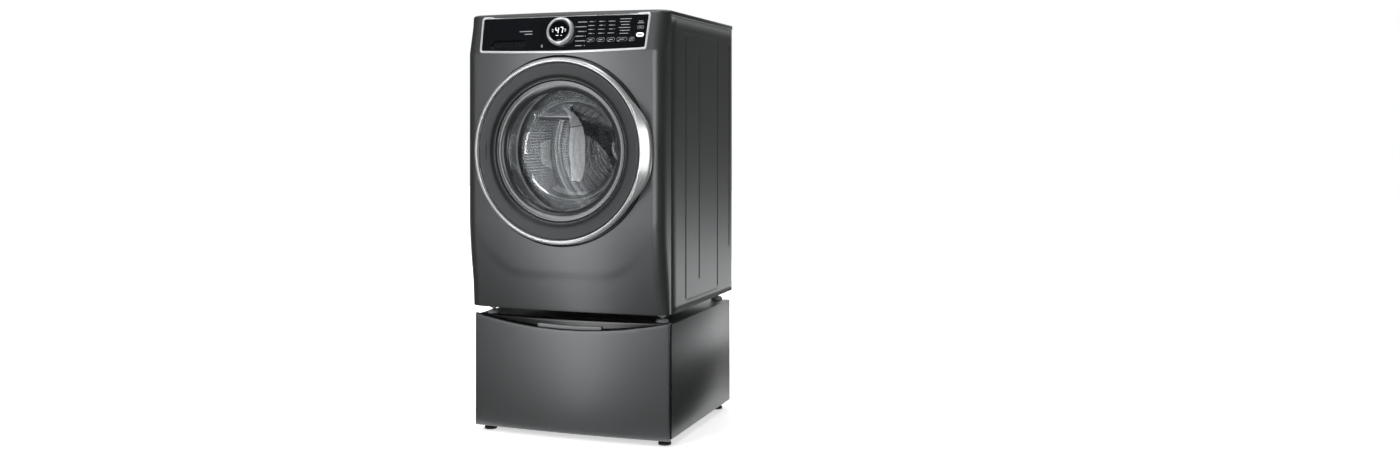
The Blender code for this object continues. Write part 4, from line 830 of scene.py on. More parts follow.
dial = {"x": 0.0, "z": 1.2955, "radius": 0.046, "bore": 0.0355, "proud": 0.018}
dialCentre = Vector((dial["x"], consoleY(dial["x"], dial["z"]), dial["z"]))
dialTilt = -math.atan2(panel["consoleLean"], panel["consoleHigh"] - panel["consoleLow"])


def setOnDial(bm):
    turnVerts(bm, bm.verts, dialTilt, "X")
    bmesh.ops.translate(bm, vec=dialCentre, verts=bm.verts)


def paintRoundUv(bm, centre):
    # u runs round the axis, v across the band, so brushing follows the turn
    layer = bm.loops.layers.uv.verify()
    for face in bm.faces:
        for loop, turn in zip(face.loops, roundTurns(face, centre)):
            d = loop.vert.co - centre
            loop[layer].uv = (turn, Vector((d.x, d.z)).length + d.y)


def buildDial():
    r, b, h = dial["radius"], dial["bore"], dial["proud"]
    profile = [(b, -h + 0.0026), (b + 0.0006, -h + 0.0014), (b + 0.0020, -h + 0.0004), (b + 0.0034, -h),
               (r - 0.0046, -h + 0.0010), (r - 0.0026, -h + 0.0024), (r - 0.0014, -h + 0.0050),
               (r - 0.0006, -0.0080),
               (r, -0.0034), (r - 0.0006, -0.0022), (b, -0.0022)]
    bm = spinProfile(profile, (0, 0, 0), 160)
    paintRoundUv(bm, Vector((0, 0, 0)))
    setOnDial(bm)
    addPiece(bm, "dialRingLook", spunAluminium, "dial", ("dial_ring",), 50)
    bm = bmesh.new()
    for i in range(72):  # grip flutes round the skirt
        a = 2 * math.pi * i / 72
        made = addBlock(bm, (0.0009, 0.0070, 0.0011), (r - 0.0004, -0.0068, 0))
        turnVerts(bm, made, a, "Y")
    setOnDial(bm)
    addPiece(bm, "dialFlutes", spunAluminium, "dial", smoothDeg=30)
    # fixed window in the middle
    w = b - 0.0008
    profile = [(0, -h + 0.0016), (w - 0.004, -h + 0.0017), (w - 0.0012, -h + 0.0023), (w, -h + 0.0036),
               (w, -0.004), (0.0292, -0.004), (0.0292, 0.0085), (0, 0.0085)]
    bm = spinProfile(profile, (0, 0, 0), 128, closed=False)
    setOnDial(bm)
    addPiece(bm, "dialDisplayLook", displayBlack, "machine", ("dial_display",), 50)
    # two lit seven-segment digits and the small marks beside them
    bm = bmesh.new()
    face = -h + 0.00135
    segments = {"4": "fgbc", "7": "abc"}
    width, height, bar = 0.0098, 0.0190, 0.0026
    # each bar's side, height and whether it lies flat
    bars = {"a": (0, 1, 1), "g": (0, 0, 1), "f": (-1, 0.5, 0), "b": (1, 0.5, 0), "c": (1, -0.5, 0)}
    for digit, cx in (("4", -0.0068), ("7", 0.0078)):
        for key in segments[digit]:
            sx, sz, flat = bars[key]
            x, z = cx + sx * width / 2 + sz * height * 0.05, sz * height / 2
            addDash(bm, x, z, width * 0.84 if flat else bar, bar if flat else height * 0.42, face)
    marks = ((-0.0215, 0.002, 0.0050, 0.0016), (-0.0210, -0.004, 0.0032, 0.0016),
             (0.0215, 0.003, 0.0050, 0.0016),
             (0.0215, -0.003, 0.0036, 0.0016), (-0.004, -0.0170, 0.0100, 0.0014),
             (0.010, -0.0170, 0.0050, 0.0014))
    for mark in marks:
        addDash(bm, *mark, face)
    setOnDial(bm)
    addPrint(bm, "displayDigits", litSegments, "machine")


def consoleHalf(side, split):
    # the face inside the trim, cut off at the joint with the drawer
    points = consoleOutline(0.0079)
    kept = [(x, z) for x, z in points if (x - split) * side > 0]
    joint = []
    for (xa, za), (xb, zb) in zip(points, points[1:] + points[:1]):
        if (xa - split) * (xb - split) < 0:
            joint.append((split, za + (zb - za) * (split - xa) / (xb - xa)))
    middle = (sum(x for x, _ in kept) / len(kept), sum(z for _, z in kept) / len(kept))
    return sorted(kept + joint, key=lambda q: math.atan2(q[1] - middle[1], q[0] - middle[0]))


def buildFascia():
    fascia = {"split": -0.0677, "thick": 0.005, "clear": 0.0004, "bore": 0.0365}
    bore = fascia["bore"]
    turns = [2 * math.pi * i / 64 for i in range(64)]
    rim = [(dial["x"] + bore * math.cos(a), dial["z"] + bore * math.sin(a)) for a in turns]
    holes = [prismShape(rim, -0.01, 0.02)]
    for _, x, z, width, height in keyPlaces:
        gap = 2 * fascia["clear"]
        holes.append(prismShape(slotPoints(x, z, width + gap, height + gap, 8), -0.01, 0.02))
    curvedPlate(consoleHalf(1, fascia["split"]), 0.0, fascia["thick"], holes, "consoleFasciaLook",
                glossBlack, "machine", "console_fascia", 0.3)


def buildDispenser():
    front = {"split": -0.0687, "thick": 0.0100, "pocket": (-0.185, 1.2595, 0.130, 0.026),
             "pocketDepth": 0.0088}
    pocket = prismShape(slotPoints(*front["pocket"], 10), -0.01, front["pocketDepth"])
    curvedPlate(consoleHalf(-1, front["split"]), 0.0, front["thick"], [pocket], "dispenserFrontLook",
                glossBlack, "dispenser", "dispenser_front", 0.5)
    refineNode("dispenser_tray", greyPlastic, "dispenser", 0.4, 30)
    refineNode("dispenser_housing", whitePlastic, "machine", 0.4, 30)
    # ribbed lip across the finger pocket
    bm = bmesh.new()
    for i in range(24):
        addBlock(bm, (0.0016, 0.0012, 0.0180), (-0.243 + i * 0.0050, 0.0089, 1.2595))
    curveOntoConsole(bm)
    addPiece(bm, "pocketRibs", blackPlastic, "dispenser", smoothDeg=30)


buildConsoleTrim()
buildFascia()
buildConsolePrint()
buildKeys()
buildDial()
buildDispenser()
print("console built")


door = {"z": 0.921, "frameRadius": 0.2745, "handleProud": 0.009,
        "trimFrontY": -0.376, "backY": -0.3465, "gripHalf": 10.0, "gripBlend": 28.0, "windowRadius": 0.224,
        "hinge": (-0.277, -0.364), "hingeHalf": 0.045}
doorCentre = Vector((0, 0, door["z"]))


def gripShare(deg):
    away = abs((deg + 180) % 360 - 180)
    return smoothStep((door["gripHalf"] + door["gripBlend"] - away) / door["gripBlend"])


def hingePocket():
    # the space that the fixed hinge arm swings in
    x, y = door["hinge"]
    pocket = {"left": -0.3055, "right": -0.249, "ahead": 0.0045, "clear": 0.001, "knuckle": 0.0058,
              "pin": 0.0034, "pinLength": 0.122}
    high = door["z"] + door["hingeHalf"] + pocket["clear"]
    low = door["z"] - door["hingeHalf"] - pocket["clear"]
    arm = bmesh.new()
    roundBox(arm, (pocket["left"], y - pocket["ahead"], low),
             (pocket["right"], door["backY"] + 0.01, high), 0)
    shapes = [arm]
    for radius, depth in ((pocket["knuckle"], high - low), (pocket["pin"], pocket["pinLength"])):
        rod = bmesh.new()
        bmesh.ops.create_cone(rod, cap_ends=True, segments=24, radius1=radius, radius2=radius, depth=depth)
        bmesh.ops.translate(rod, vec=(x, y, door["z"]), verts=rod.verts)
        shapes.append(rod)
    return [helperShape(shape) for shape in shapes]


# the band's front from its inner to its outer edge: (radius, drop behind the front)
ringSection = ((0.2812, 0.0100), (0.2816, 0.0050), (0.2846, 0.0044), (0.2856, 0.0042), (0.2862, 0.0030),
               (0.2868, 0.0018),
               (0.2880, 0.0020), (0.2900, 0.0036), (0.2918, 0.0056), (0.2927, 0.0075), (0.2930, 0.0098))
gripSection = ((0.2826, 0.0110), (0.2828, 0.0040), (0.2838, 0.0010), (0.2860, 0.0000), (0.2890, 0.0006),
               (0.2935, 0.0024),
               (0.2990, 0.0046), (0.3055, 0.0070), (0.3120, 0.0096), (0.3165, 0.0116), (0.3185, 0.0146))


def trimSection(share):
    # a thin coned ring that grows into the broad slanting grip
    front = door["trimFrontY"] - door["handleProud"] * share
    points = []
    for (ra, ya), (rb, yb) in zip(ringSection, gripSection):
        points.append((ra + (rb - ra) * share, front + ya + (yb - ya) * share))
    outer = points[-1][0]
    hollow = front + 0.0098 + 0.0100 * share  # the underside, where fingers go behind the grip
    points += [(outer, hollow + 0.0030), (outer - 0.0012, hollow + 0.0046)]
    points += [(0.2914, door["trimFrontY"] + 0.0180 - 0.002 * share), (0.2896, door["backY"]),
               (door["frameRadius"] + 0.0028, door["backY"]), (door["frameRadius"] + 0.0028, -0.3640)]
    return points


def buildTrim():
    steps = 240
    base = trimSection(0.0)
    bm = bmesh.new()
    layer = bm.verts.layers.int.new("profileIndex")
    verts = [bm.verts.new((r, y, 0)) for r, y in base]
    edges = [bm.edges.new(pair) for pair in zip(verts, verts[1:] + verts[:1])]
    for i, v in enumerate(verts):
        v[layer] = i
    bmesh.ops.spin(bm, geom=verts + edges, cent=(0, 0, 0), axis=(0, 1, 0), dvec=(0, 0, 0),
                   angle=2 * math.pi, steps=steps, use_merge=True)
    for v in bm.verts:  # widen and lift the plain ring into the grip
        angle = math.atan2(v.co.z, v.co.x)
        radius, y = trimSection(gripShare(math.degrees(angle)))[v[layer]]
        v.co = (radius * math.cos(angle), y, radius * math.sin(angle) + door["z"])
    bmesh.ops.remove_doubles(bm, verts=bm.verts, dist=1e-6)
    bmesh.ops.recalc_face_normals(bm, faces=bm.faces)
    paintRoundUv(bm, doorCentre)
    piece = addPiece(bm, "doorTrimLook", brushedAluminium, "door", ("door_trim",), 40)
    cutWith(piece, hingePocket())
    # the bright bead along the band's inner edge
    section = [(0.2820 + 0.0024 * cosDeg(a), -0.3735 - 0.0030 * sinDeg(a)) for a in range(0, 181, 20)]
    section += [(0.2796, -0.3662), (0.2844, -0.3662)]
    bm = spinProfile(section, doorCentre, 192)
    piece = addPiece(bm, "doorTrimBead", silverPlating, "door", smoothDeg=60)
    cutWith(piece, hingePocket())


def buildFrame():
    r, b = door["frameRadius"], door["backY"]
    profile = [(r + 0.0022, b), (r + 0.0022, -0.3702), (r + 0.0016, -0.3709), (r + 0.0004, -0.3713)]
    # the broad face, barely coned
    profile += [(0.2700 - 0.0048 * i, -0.3714 + 0.00075 * i) for i in range(7)]
    profile += [(0.2388, -0.3658), (0.2368, -0.3640), (0.2350, -0.3612), (0.2334, -0.3584),
                (0.2316, -0.3562), (0.2292, -0.3550),
                (0.2268, -0.3552), (0.2250, -0.3549), (door["windowRadius"], -0.3536),
                (door["windowRadius"], b)]
    bm = spinProfile(profile, doorCentre, 192)
    piece = addPiece(bm, "doorFrameLook", doorSatin, "door", ("door_frame",), 40)
    cutWith(piece, hingePocket())


def buildBezel():
    # a black ring at the rim as painted shade for the shadow in the groove, then the grey concave ring
    w = door["windowRadius"] - 0.0004
    profile = [(w, -0.3530), (w, -0.3482), (0.1995, -0.3482), (0.1960, -0.3410), (0.1915, -0.3330),
               (0.1902, -0.3330),
               (0.1900, -0.3352), (0.1922, -0.3405), (0.1948, -0.3450), (0.1985, -0.3483), (0.2030, -0.3503),
               (0.2080, -0.3513), (0.2130, -0.3516), (0.2175, -0.3513), (0.2205, -0.3512)]
    bm = spinProfile(profile, doorCentre, 192)
    addPiece(bm, "doorBezelLook", greyBezel, "door", ("door_bezel",), 40)
    # black ring at the window's rim: painted shade for the dark groove there
    rimShade = [(w - 0.0004, -0.3534), (w - 0.0036, -0.3527), (w - 0.0036, -0.3520), (w - 0.0004, -0.3524)]
    bm = spinProfile(rimShade, doorCentre, 192)
    addPiece(bm, "windowRimShadeRing", blackRubberAndGapShade, "door", smoothDeg=40)
    # thin ring laid in the frame's foot
    section = [(0.2264 + 0.0018 * cosDeg(a), -0.3552 - 0.0016 * sinDeg(a)) for a in range(0, 181, 20)]
    bm = spinProfile(section, doorCentre, 192)
    addPiece(bm, "windowRing", greyBezel, "door", smoothDeg=60)


def buildGlass():
    inner = [(0.2215, -0.3476), (0.2060, -0.3476), (0.2010, -0.3466), (0.1985, -0.3440),
             (0.1950, -0.3320), (0.1910, -0.3180),
             (0.1868, -0.3000), (0.1825, -0.2820), (0.1778, -0.2640), (0.1718, -0.2480),
             (0.1636, -0.2335), (0.1520, -0.2210),
             (0.1370, -0.2105), (0.1190, -0.2025), (0.0980, -0.1968), (0.0740, -0.1930),
             (0.0470, -0.1905), (0.0200, -0.1893), (0, -0.1890)]
    outer = [(0.2215, -0.3444), (0.2070, -0.3444), (0.2042, -0.3430), (0.2025, -0.3400),
             (0.1988, -0.3290), (0.1948, -0.3140),
             (0.1906, -0.2960), (0.1862, -0.2780), (0.1812, -0.2600), (0.1748, -0.2440),
             (0.1660, -0.2295), (0.1540, -0.2170),
             (0.1385, -0.2066), (0.1200, -0.1987), (0.0985, -0.1930), (0.0742, -0.1892),
             (0.0470, -0.1866), (0.0200, -0.1853), (0, -0.1850)]
    bm = spinProfile(inner[::-1] + outer, doorCentre, 160, closed=False)
    addPiece(bm, "doorGlassLook", doorGlass, "door", ("door_glass",), 60)


def buildDoorBack():
    refineNode("door_liner", blackPlastic, "door", 0.0, 35)
    refineNode("door_hinge", castAluminium, "machine", 0.3, 35)
    refineNode("hinge_pin", brightSteel, "door", 0.3, 35)
    refineNode("door_lock", blackPlastic, "machine", 0.5, 35)
    bm = bmesh.new()
    for i in range(8):  # screws that hold the liner to the frame
        a = math.radians(22.5 + 45 * i)
        place = (0.252 * math.cos(a), -0.3402, door["z"] + 0.252 * math.sin(a))
        addCone(bm, place, (0.0042, 0.0030), 0.0020, 16, -90)
    addPiece(bm, "linerScrews", brightSteel, "door", smoothDeg=40)


def buildGasket():
    flange, neck = -0.3365, -0.2483
    profile = [(0.2385, flange), (0.2388, flange + 0.0012), (0.2380, flange + 0.0022),
               (0.2322, flange + 0.0026), (0.2310, -0.3320),
               (0.2312, -0.3060), (0.2306, -0.2980), (0.2286, -0.2930), (0.2240, -0.2870),
               (0.2198, -0.2825), (0.2186, -0.2790),
               (0.2200, -0.2755), (0.2250, -0.2700), (0.2292, -0.2655), (0.2306, -0.2620),
               (0.2296, -0.2590), (0.2240, -0.2545),
               (0.2170, -0.2510), (0.2130, neck), (0.2092, neck), (0.2150, -0.2532), (0.2220, -0.2572),
               (0.2268, -0.2606),
               (0.2272, -0.2628), (0.2240, -0.2668), (0.2185, -0.2730), (0.2156, -0.2772),
               (0.2154, -0.2812), (0.2180, -0.2850),
               (0.2230, -0.2905), (0.2270, -0.2955), (0.2286, -0.2990), (0.2286, -0.3070),
               (0.2250, -0.3068), (0.2120, -0.3020),
               (0.1990, -0.2968), (0.1950, -0.2948), (0.1940, -0.2958), (0.1948, -0.2974),
               (0.2080, -0.3034), (0.2220, -0.3090),
               (0.2286, -0.3108), (0.2288, flange)]
    bm = spinProfile(profile, doorCentre, 160)
    piece = addPiece(bm, "doorGasketLook", gasketRubber, None, ("door_gasket",), 50)
    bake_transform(piece)


buildTrim()
buildFrame()
buildBezel()
buildGlass()
buildDoorBack()
buildGasket()
print("door built")


drum = {"axisZ": 0.921, "radius": 0.272, "frontY": -0.205, "backY": 0.185, "mouth": 0.200, "wall": 0.0012,
        "lifterAngles": (-90.0, 30.0, 150.0), "lifterHeight": 0.058, "lifterHalf": 0.036}
drumCentre = Vector((0, 0, drum["axisZ"]))


def buildDrum():
    r, w, m = drum["radius"], drum["wall"], drum["mouth"]
    fy, by = drum["frontY"], drum["backY"]
    outer = [(m - 0.0004, -0.2120), (m + 0.0002, -0.2146), (m + 0.0020, -0.2160), (m + 0.0050, -0.2160),
             (0.2250, -0.2122),
             (r - 0.0140, fy - 0.0040), (r - 0.0050, fy + 0.0010), (r - 0.0008, fy + 0.0070)]
    outer += [(r, fy + 0.012 + (by - fy - 0.024) * i / 40) for i in range(41)]
    outer += [(r - 0.0020, by - 0.0030), (r - 0.0080, by), (0.2500, by), (0.2450, by - 0.0010),
              (0.2400, by - 0.0044), (0.2350, by - 0.0062),
              (0.2000, by - 0.0070), (0.1500, by - 0.0080), (0.0700, by - 0.0090), (0, by - 0.0092)]
    inner = [(0, by - w - 0.0092), (0.0700, by - w - 0.0090), (0.1500, by - w - 0.0080),
             (0.2000, by - w - 0.0070),
             (0.2345, by - w - 0.0062), (0.2395, by - w - 0.0044), (0.2445, by - w - 0.0010),
             (0.2500, by - w),
             (r - 0.0100, by - w), (r - 0.0045, by - 0.0060)]
    inner += [(r - w, by - 0.012 - (by - fy - 0.024) * i / 40) for i in range(41)]
    inner += [(r - 0.0032, fy + 0.0070), (r - 0.0080, fy + 0.0030), (r - 0.0160, fy - 0.0020),
              (0.2250, -0.2104), (m + 0.0050, -0.2142),
              (m + 0.0022, -0.2146), (m + 0.0010, -0.2134)]
    bm = spinProfile(outer + inner, drumCentre, 160, closed=True)
    layer = bm.loops.layers.uv.verify()
    for face in bm.faces:
        middle = face.calc_center_median() - drumCentre
        radius = Vector((middle.x, middle.z)).length
        onWall = radius > r - 0.004 and fy + 0.02 < middle.y < by - 0.02
        for loop, turn in zip(face.loops, roundTurns(face, drumCentre)):
            d = loop.vert.co - drumCentre
            reach = d.y if onWall else Vector((d.x, d.z)).length * 0.5
            loop[layer].uv = (turn, reach / 0.39)
    addPiece(bm, "drumLook", drumSteelHoleShade, "drum", ("drum",), 40, recalc=False)


def starOutline(half, reach, fillet):
    # three round-ended arms, in line with the lifters, that flow together at the hub
    points = []
    for angle in drum["lifterAngles"]:
        along = Vector((cosDeg(angle), sinDeg(angle)))
        for i in range(11):
            a = angle - 90 + 18 * i
            points.append((along.x * reach + half * cosDeg(a), along.y * reach + half * sinDeg(a)))
        far = (fillet + half) / sinDeg(60)
        x, y = far * cosDeg(angle + 60), far * sinDeg(angle + 60)
        for i in range(13):
            a = angle + 270 - 5 * i
            points.append((x + fillet * cosDeg(a), y + fillet * sinDeg(a)))
    return points


def buildDrumBack():
    # the pressed star on the drum's back wall, and the cap over the shaft's end
    star = {"half": 0.034, "reach": 0.170, "fillet": 0.20, "rise": 0.0095, "round": 0.0055}
    y = drum["backY"] - drum["wall"] - 0.0070
    outline = [(x, z + drum["axisZ"]) for x, z in starOutline(star["half"], star["reach"], star["fillet"])]
    bm = prismShape(outline, y - star["rise"], y)
    bmesh.ops.recalc_face_normals(bm, faces=bm.faces)
    rim = [e for e in bm.edges if all(v.co.y < y - star["rise"] + 1e-5 for v in e.verts)]
    roundEdges(bm, rim, star["round"], 5)
    addPiece(bm, "drumBackStar", starSteel, "drum", smoothDeg=60)
    cap = [(0, y - 0.0170), (0.020, y - 0.0168), (0.034, y - 0.0156), (0.043, y - 0.0128),
           (0.048, y - 0.0100), (0.048, y - 0.0090), (0, y - 0.0090)]
    bm = spinProfile(cap, drumCentre, 96, closed=False)
    addPiece(bm, "drumHubCap", drumPolish, "drum", smoothDeg=50)
    lip = {"radius": 0.2088, "count": 112, "hole": 0.0020, "y": -0.2161}
    bm = bmesh.new()
    for i in range(lip["count"]):  # the row of small holes round the mouth, as thin black discs: painted shade in place of open holes
        a = 2 * math.pi * i / lip["count"]
        place = (lip["radius"] * math.cos(a), lip["y"], drum["axisZ"] + lip["radius"] * math.sin(a))
        addCone(bm, place, (lip["hole"], lip["hole"]), 0.0006, 8)
    addPiece(bm, "drumLipHoleShade", glossBlackAndHoleShade, "drum", smoothDeg=40)


def buildLifters():
    lifter = {"startY": -0.186, "endY": 0.168, "length": 0.354, "sink": 0.0006, "wall": 0.0024}
    foot = (drum["radius"] - drum["wall"]) - lifter["sink"]
    for count, angle in enumerate(drum["lifterAngles"], 1):
        bm = bmesh.new()
        bmesh.ops.create_grid(bm, x_segments=20, y_segments=36, size=1.0)
        for v in bm.verts:
            across, along = v.co.x, v.co.y
            y = lifter["startY"] + (along + 1) / 2 * lifter["length"]
            rise = smoothStep((y - lifter["startY"]) / 0.040) * smoothStep((lifter["endY"] - y) / 0.034)
            shape = math.cos(across * math.pi / 2) ** 1.3
            half = drum["lifterHalf"] * (0.45 + 0.55 * rise ** 0.5)
            base = math.sqrt(foot ** 2 - (half * across) ** 2)
            v.co = (base - (base - (foot - drum["lifterHeight"])) * shape * rise, y, half * across)
        bmesh.ops.recalc_face_normals(bm, faces=bm.faces)
        turnVerts(bm, bm.verts, -math.radians(angle), "Y")
        bmesh.ops.translate(bm, vec=drumCentre, verts=bm.verts)
        out = Vector((cosDeg(angle), 0, sinDeg(angle)))
        turnOutward(bm, min(bm.faces, key=lambda f: (f.calc_center_median() - drumCentre).dot(out)), -out)
        piece = addPiece(bm, f"drumLifter{count}Look", lifterGrey, "drum", (f"drum_lifter_{count}",),
                         60, recalc=False)
        thicken(piece, "wall", lifter["wall"])


drumPolish = makeSteel("polishedStainless", "#C4C6C8", 0.18)
starSteel = makeSteel("pressedStainless", "#76787A", 0.22)
lifterGrey = makeSteel("lifterStainless", "#A6A8AB", 0.20)
buildDrum()
buildDrumBack()
buildLifters()
print("drum built")


def finishNodes():
    plain = (
        (whitePlastic, "tub", "white_plastic", "tub_front tub_rear"),
        (castIron, "tub", "cast_iron", "counterweight"),
        (brightSteel, "tub", "steel", "tub_bearing"), (castAluminium, "tub", "cast_aluminium", "motor"),
        (blackRubberAndGapShade, "tub", "rubber", "drive_belt"),
        (castAluminium, "drum", "cast_aluminium", "drum_shaft drum_pulley"),
        (brightSteel, "motor_rotor", "steel", "motor_pulley"),
        (greyPlastic, "tub", "grey_plastic", "damper_rod_left damper_rod_right"),
        (brightSteel, "machine", "steel", "damper_body_left damper_body_right"),
        (greyPlastic, "machine", "grey_plastic", "drain_pump"),
    )
    for finish, body, slotName, nodeNames in plain:
        for nodeName in nodeNames.split():
            refineNode(nodeName, finish, body)
    board = makePlastic("solderMaskedBoard", "#1F3A2C")
    refineNode("control_board", board, "machine", 0.3, 35)
    for side, x in (("left", -0.25), ("right", 0.25)):
        bm = copyNode("suspension_spring_" + side)
        piece = addPiece(bm, "suspensionSpring" + side.capitalize() + "Look", brightSteel, None,
                         ("suspension_spring_" + side,), 60, recalc=False)
        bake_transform(piece)


finishNodes()
print("machinery finished")


pedestal = {"half": 0.340, "edgeY": -0.280, "bow": 0.012, "cornerZ": 0.387, "dip": 0.037, "lowZ": 0.020,
            "backY": -0.2645, "sheet": 0.0016, "round": 0.0035}


def drawerFront(x):
    share = (x / pedestal["half"]) ** 2
    return pedestal["edgeY"] - pedestal["bow"] * (1 - share)


def drawerTop(x):
    share = (x / pedestal["half"]) ** 2
    return pedestal["cornerZ"] - pedestal["dip"] * (1 - share)


def rolledPlace(i, count, low, high, steps=6):
    # a grid line's place across the sheet, and how far the rolled edge has turned back there
    radius = pedestal["round"]
    over = max(steps - i, i - count + steps)
    if over <= 0:
        return low + radius + (high - low - 2 * radius) * (i - steps) / (count - 2 * steps), 0.0
    inward, back = radius * (1 - sinDeg(90 * over / steps)), radius * (1 - cosDeg(90 * over / steps))
    return (low + inward if i < steps else high - inward), back


def buildDrawer():
    p = pedestal
    # painted front sheet: its edges roll back, and its top edge dips in the middle
    countX, countZ = 84, 42
    bm = bmesh.new()
    bmesh.ops.create_grid(bm, x_segments=countX, y_segments=countZ, size=1.0)
    for v in bm.verts:
        x, backX = rolledPlace(round((v.co.x + 1) / 2 * countX), countX, -p["half"], p["half"])
        z, backZ = rolledPlace(round((v.co.y + 1) / 2 * countZ), countZ, p["lowZ"], drawerTop(x))
        v.co = (x, drawerFront(x) + max(backX, backZ), z)
    grown = bmesh.ops.extrude_edge_only(bm, edges=[e for e in bm.edges if e.is_boundary])["geom"]
    for v in onlyVerts(grown):
        onTop = v.co.z > drawerTop(v.co.x) - 0.001 and abs(v.co.x) < p["half"] - 0.006
        v.co.y = v.co.y + 0.0030 if onTop else p["backY"]
    bmesh.ops.recalc_face_normals(bm, faces=bm.faces)
    turnOutward(bm, min(bm.faces, key=lambda f: f.calc_center_median().y), (0, -1, 0))
    piece = addPiece(bm, "drawerFrontLook", titaniumPaint, "pedestal_drawer", ("pedestal_drawer_front",),
                     50, recalc=False)
    thicken(piece, "sheet", p["sheet"])
    # polished black trough behind the edge
    trough = {"half": 0.334, "lip": 0.004, "depth": 0.020, "backTop": 0.3850, "clear": 0.0006,
              "wall": 0.0008}
    bm = bmesh.new()
    bmesh.ops.create_grid(bm, x_segments=60, y_segments=10, size=1.0)
    for v in bm.verts:
        x, t = v.co.x * trough["half"], (v.co.y + 1) / 2
        front, top = drawerFront(x) + 0.0030, drawerTop(x)
        floor, lip = top - trough["depth"], top - trough["lip"]
        if t < 0.4:
            v.co = (x, front + 0.0003, lip - (lip - floor) * (t / 0.4))
        elif t < 0.6:
            v.co = (x, front + (p["backY"] - front - trough["clear"]) * (t - 0.4) / 0.2, floor)
        else:
            v.co = (x, p["backY"] - trough["clear"], floor + (trough["backTop"] - floor) * (t - 0.6) / 0.4)
    bmesh.ops.recalc_face_normals(bm, faces=bm.faces)
    piece = addPiece(bm, "gripTrough", glossBlackAndHoleShade, "pedestal_drawer", recalc=False)
    thicken(piece, "wall", trough["wall"], 0.0)
    # light grey grip bar across the trough
    bm = bmesh.new()
    roundBox(bm, (-0.118, -0.2725, 0.3480), (0.108, -0.2655, 0.3610), 0.0030, 4)
    long = [e for e in bm.edges if abs(e.verts[0].co.x - e.verts[1].co.x) > 0.1]
    bmesh.ops.subdivide_edges(bm, edges=long, cuts=24, use_grid_fill=True)
    for v in bm.verts:
        ends = smoothStep((0.118 - abs(v.co.x + 0.005)) / 0.012)
        v.co.z = 0.3545 + (v.co.z - 0.3545) * (0.35 + 0.65 * ends) + 0.004 * (v.co.x / 0.118) ** 2
    addPiece(bm, "gripBar", gripGrey, "pedestal_drawer", smoothDeg=50)
    refineNode("pedestal_drawer_bin", galvanised, "pedestal_drawer", 0.4, 35)
    refineNode("pedestal_cabinet", titaniumPaint, "machine", 0.9, 35)


buildDrawer()
print("pedestal built")


def addStage(bm, name, material, cameraSees=False):
    mesh = bpy.data.meshes.new(name)
    bm.to_mesh(mesh)
    bm.free()
    mesh.materials.append(material)
    made = bpy.data.objects.new(name, mesh)
    bpy.context.scene.collection.objects.link(made)
    if not cameraSees:  # a card only shows in reflections
        made.visible_camera = False
        made.visible_diffuse = False
        made.visible_shadow = False


def makeGlow(name, level, fade=None):
    # a card that shows in gloss at a set level and takes no light; fade dims it towards the machine
    material, shader = startMaterial(name, "#000000", 1.0)
    shader.inputs["Specular IOR Level"].default_value = 0.0
    shader.inputs["Emission Color"].default_value = (1, 1, 1, 1)
    shader.inputs["Emission Strength"].default_value = level
    if fade:
        coords = addNode(material, "ShaderNodeTexCoord")
        place = addNode(material, "ShaderNodeSeparateXYZ", inputs={"Vector": coords.outputs["Object"]})
        dim = addNode(material, "ShaderNodeMapRange", inputs={
            "Value": place.outputs["Y"], "From Min": fade["nearY"], "From Max": fade["farY"],
            "To Min": level * fade["share"], "To Max": level})
        material.node_tree.links.new(dim.outputs["Result"], shader.inputs["Emission Strength"])
    return material


def backdropRay(material):
    # one for the rays that should meet the white background: camera, gloss and clear glass
    path = addNode(material, "ShaderNodeLightPath")
    seen = addNode(material, "ShaderNodeMath", {"operation": "MAXIMUM"},
                   {0: path.outputs["Is Camera Ray"], 1: path.outputs["Is Glossy Ray"]})
    return addNode(material, "ShaderNodeMath", {"operation": "MAXIMUM"},
                   {0: seen.outputs[0], 1: path.outputs["Is Transmission Ray"]})


def buildFloorAndWorld():
    backdrop = {"floorSize": 14.0, "floorColour": "#F4F4F4", "floorGlow": 0.55, "farGlow": 1.0, "near": 1.4,
                "far": 4.0, "softLight": 0.27}
    bm = bmesh.new()
    bmesh.ops.create_grid(bm, x_segments=1, y_segments=1, size=backdrop["floorSize"])
    material, shader = startMaterial("paleFloor", backdrop["floorColour"], 0.7)
    shader.inputs["Emission Color"].default_value = (1, 1, 1, 1)
    seen = backdropRay(material)
    coords = addNode(material, "ShaderNodeTexCoord")
    away = addNode(material, "ShaderNodeVectorMath", {"operation": "LENGTH"}, {0: coords.outputs["Object"]})
    # the lamps fall off, so the far floor glows more
    glow = addNode(material, "ShaderNodeMapRange", inputs={
        "Value": away.outputs["Value"], "From Min": backdrop["near"], "From Max": backdrop["far"],
        "To Min": backdrop["floorGlow"], "To Max": backdrop["farGlow"]})
    level = addNode(material, "ShaderNodeMath", {"operation": "MULTIPLY"},
                    {0: seen.outputs[0], 1: glow.outputs["Result"]})
    material.node_tree.links.new(level.outputs[0], shader.inputs["Emission Strength"])
    addStage(bm, "studioFloor", material, cameraSees=True)
    world = bpy.data.worlds.new("studioWorld")
    bpy.context.scene.world = world
    world.use_nodes = True
    world.node_tree.nodes.clear()
    seen = backdropRay(world)
    soft, white = [addNode(world, "ShaderNodeBackground", None, {"Color": (1, 1, 1, 1), "Strength": level})
                   for level in (backdrop["softLight"], 1.0)]
    mix = addNode(world, "ShaderNodeMixShader", None,
                  {0: seen.outputs[0], 1: soft.outputs[0], 2: white.outputs[0]})
    addNode(world, "ShaderNodeOutputWorld", None, {"Surface": mix.outputs[0]})


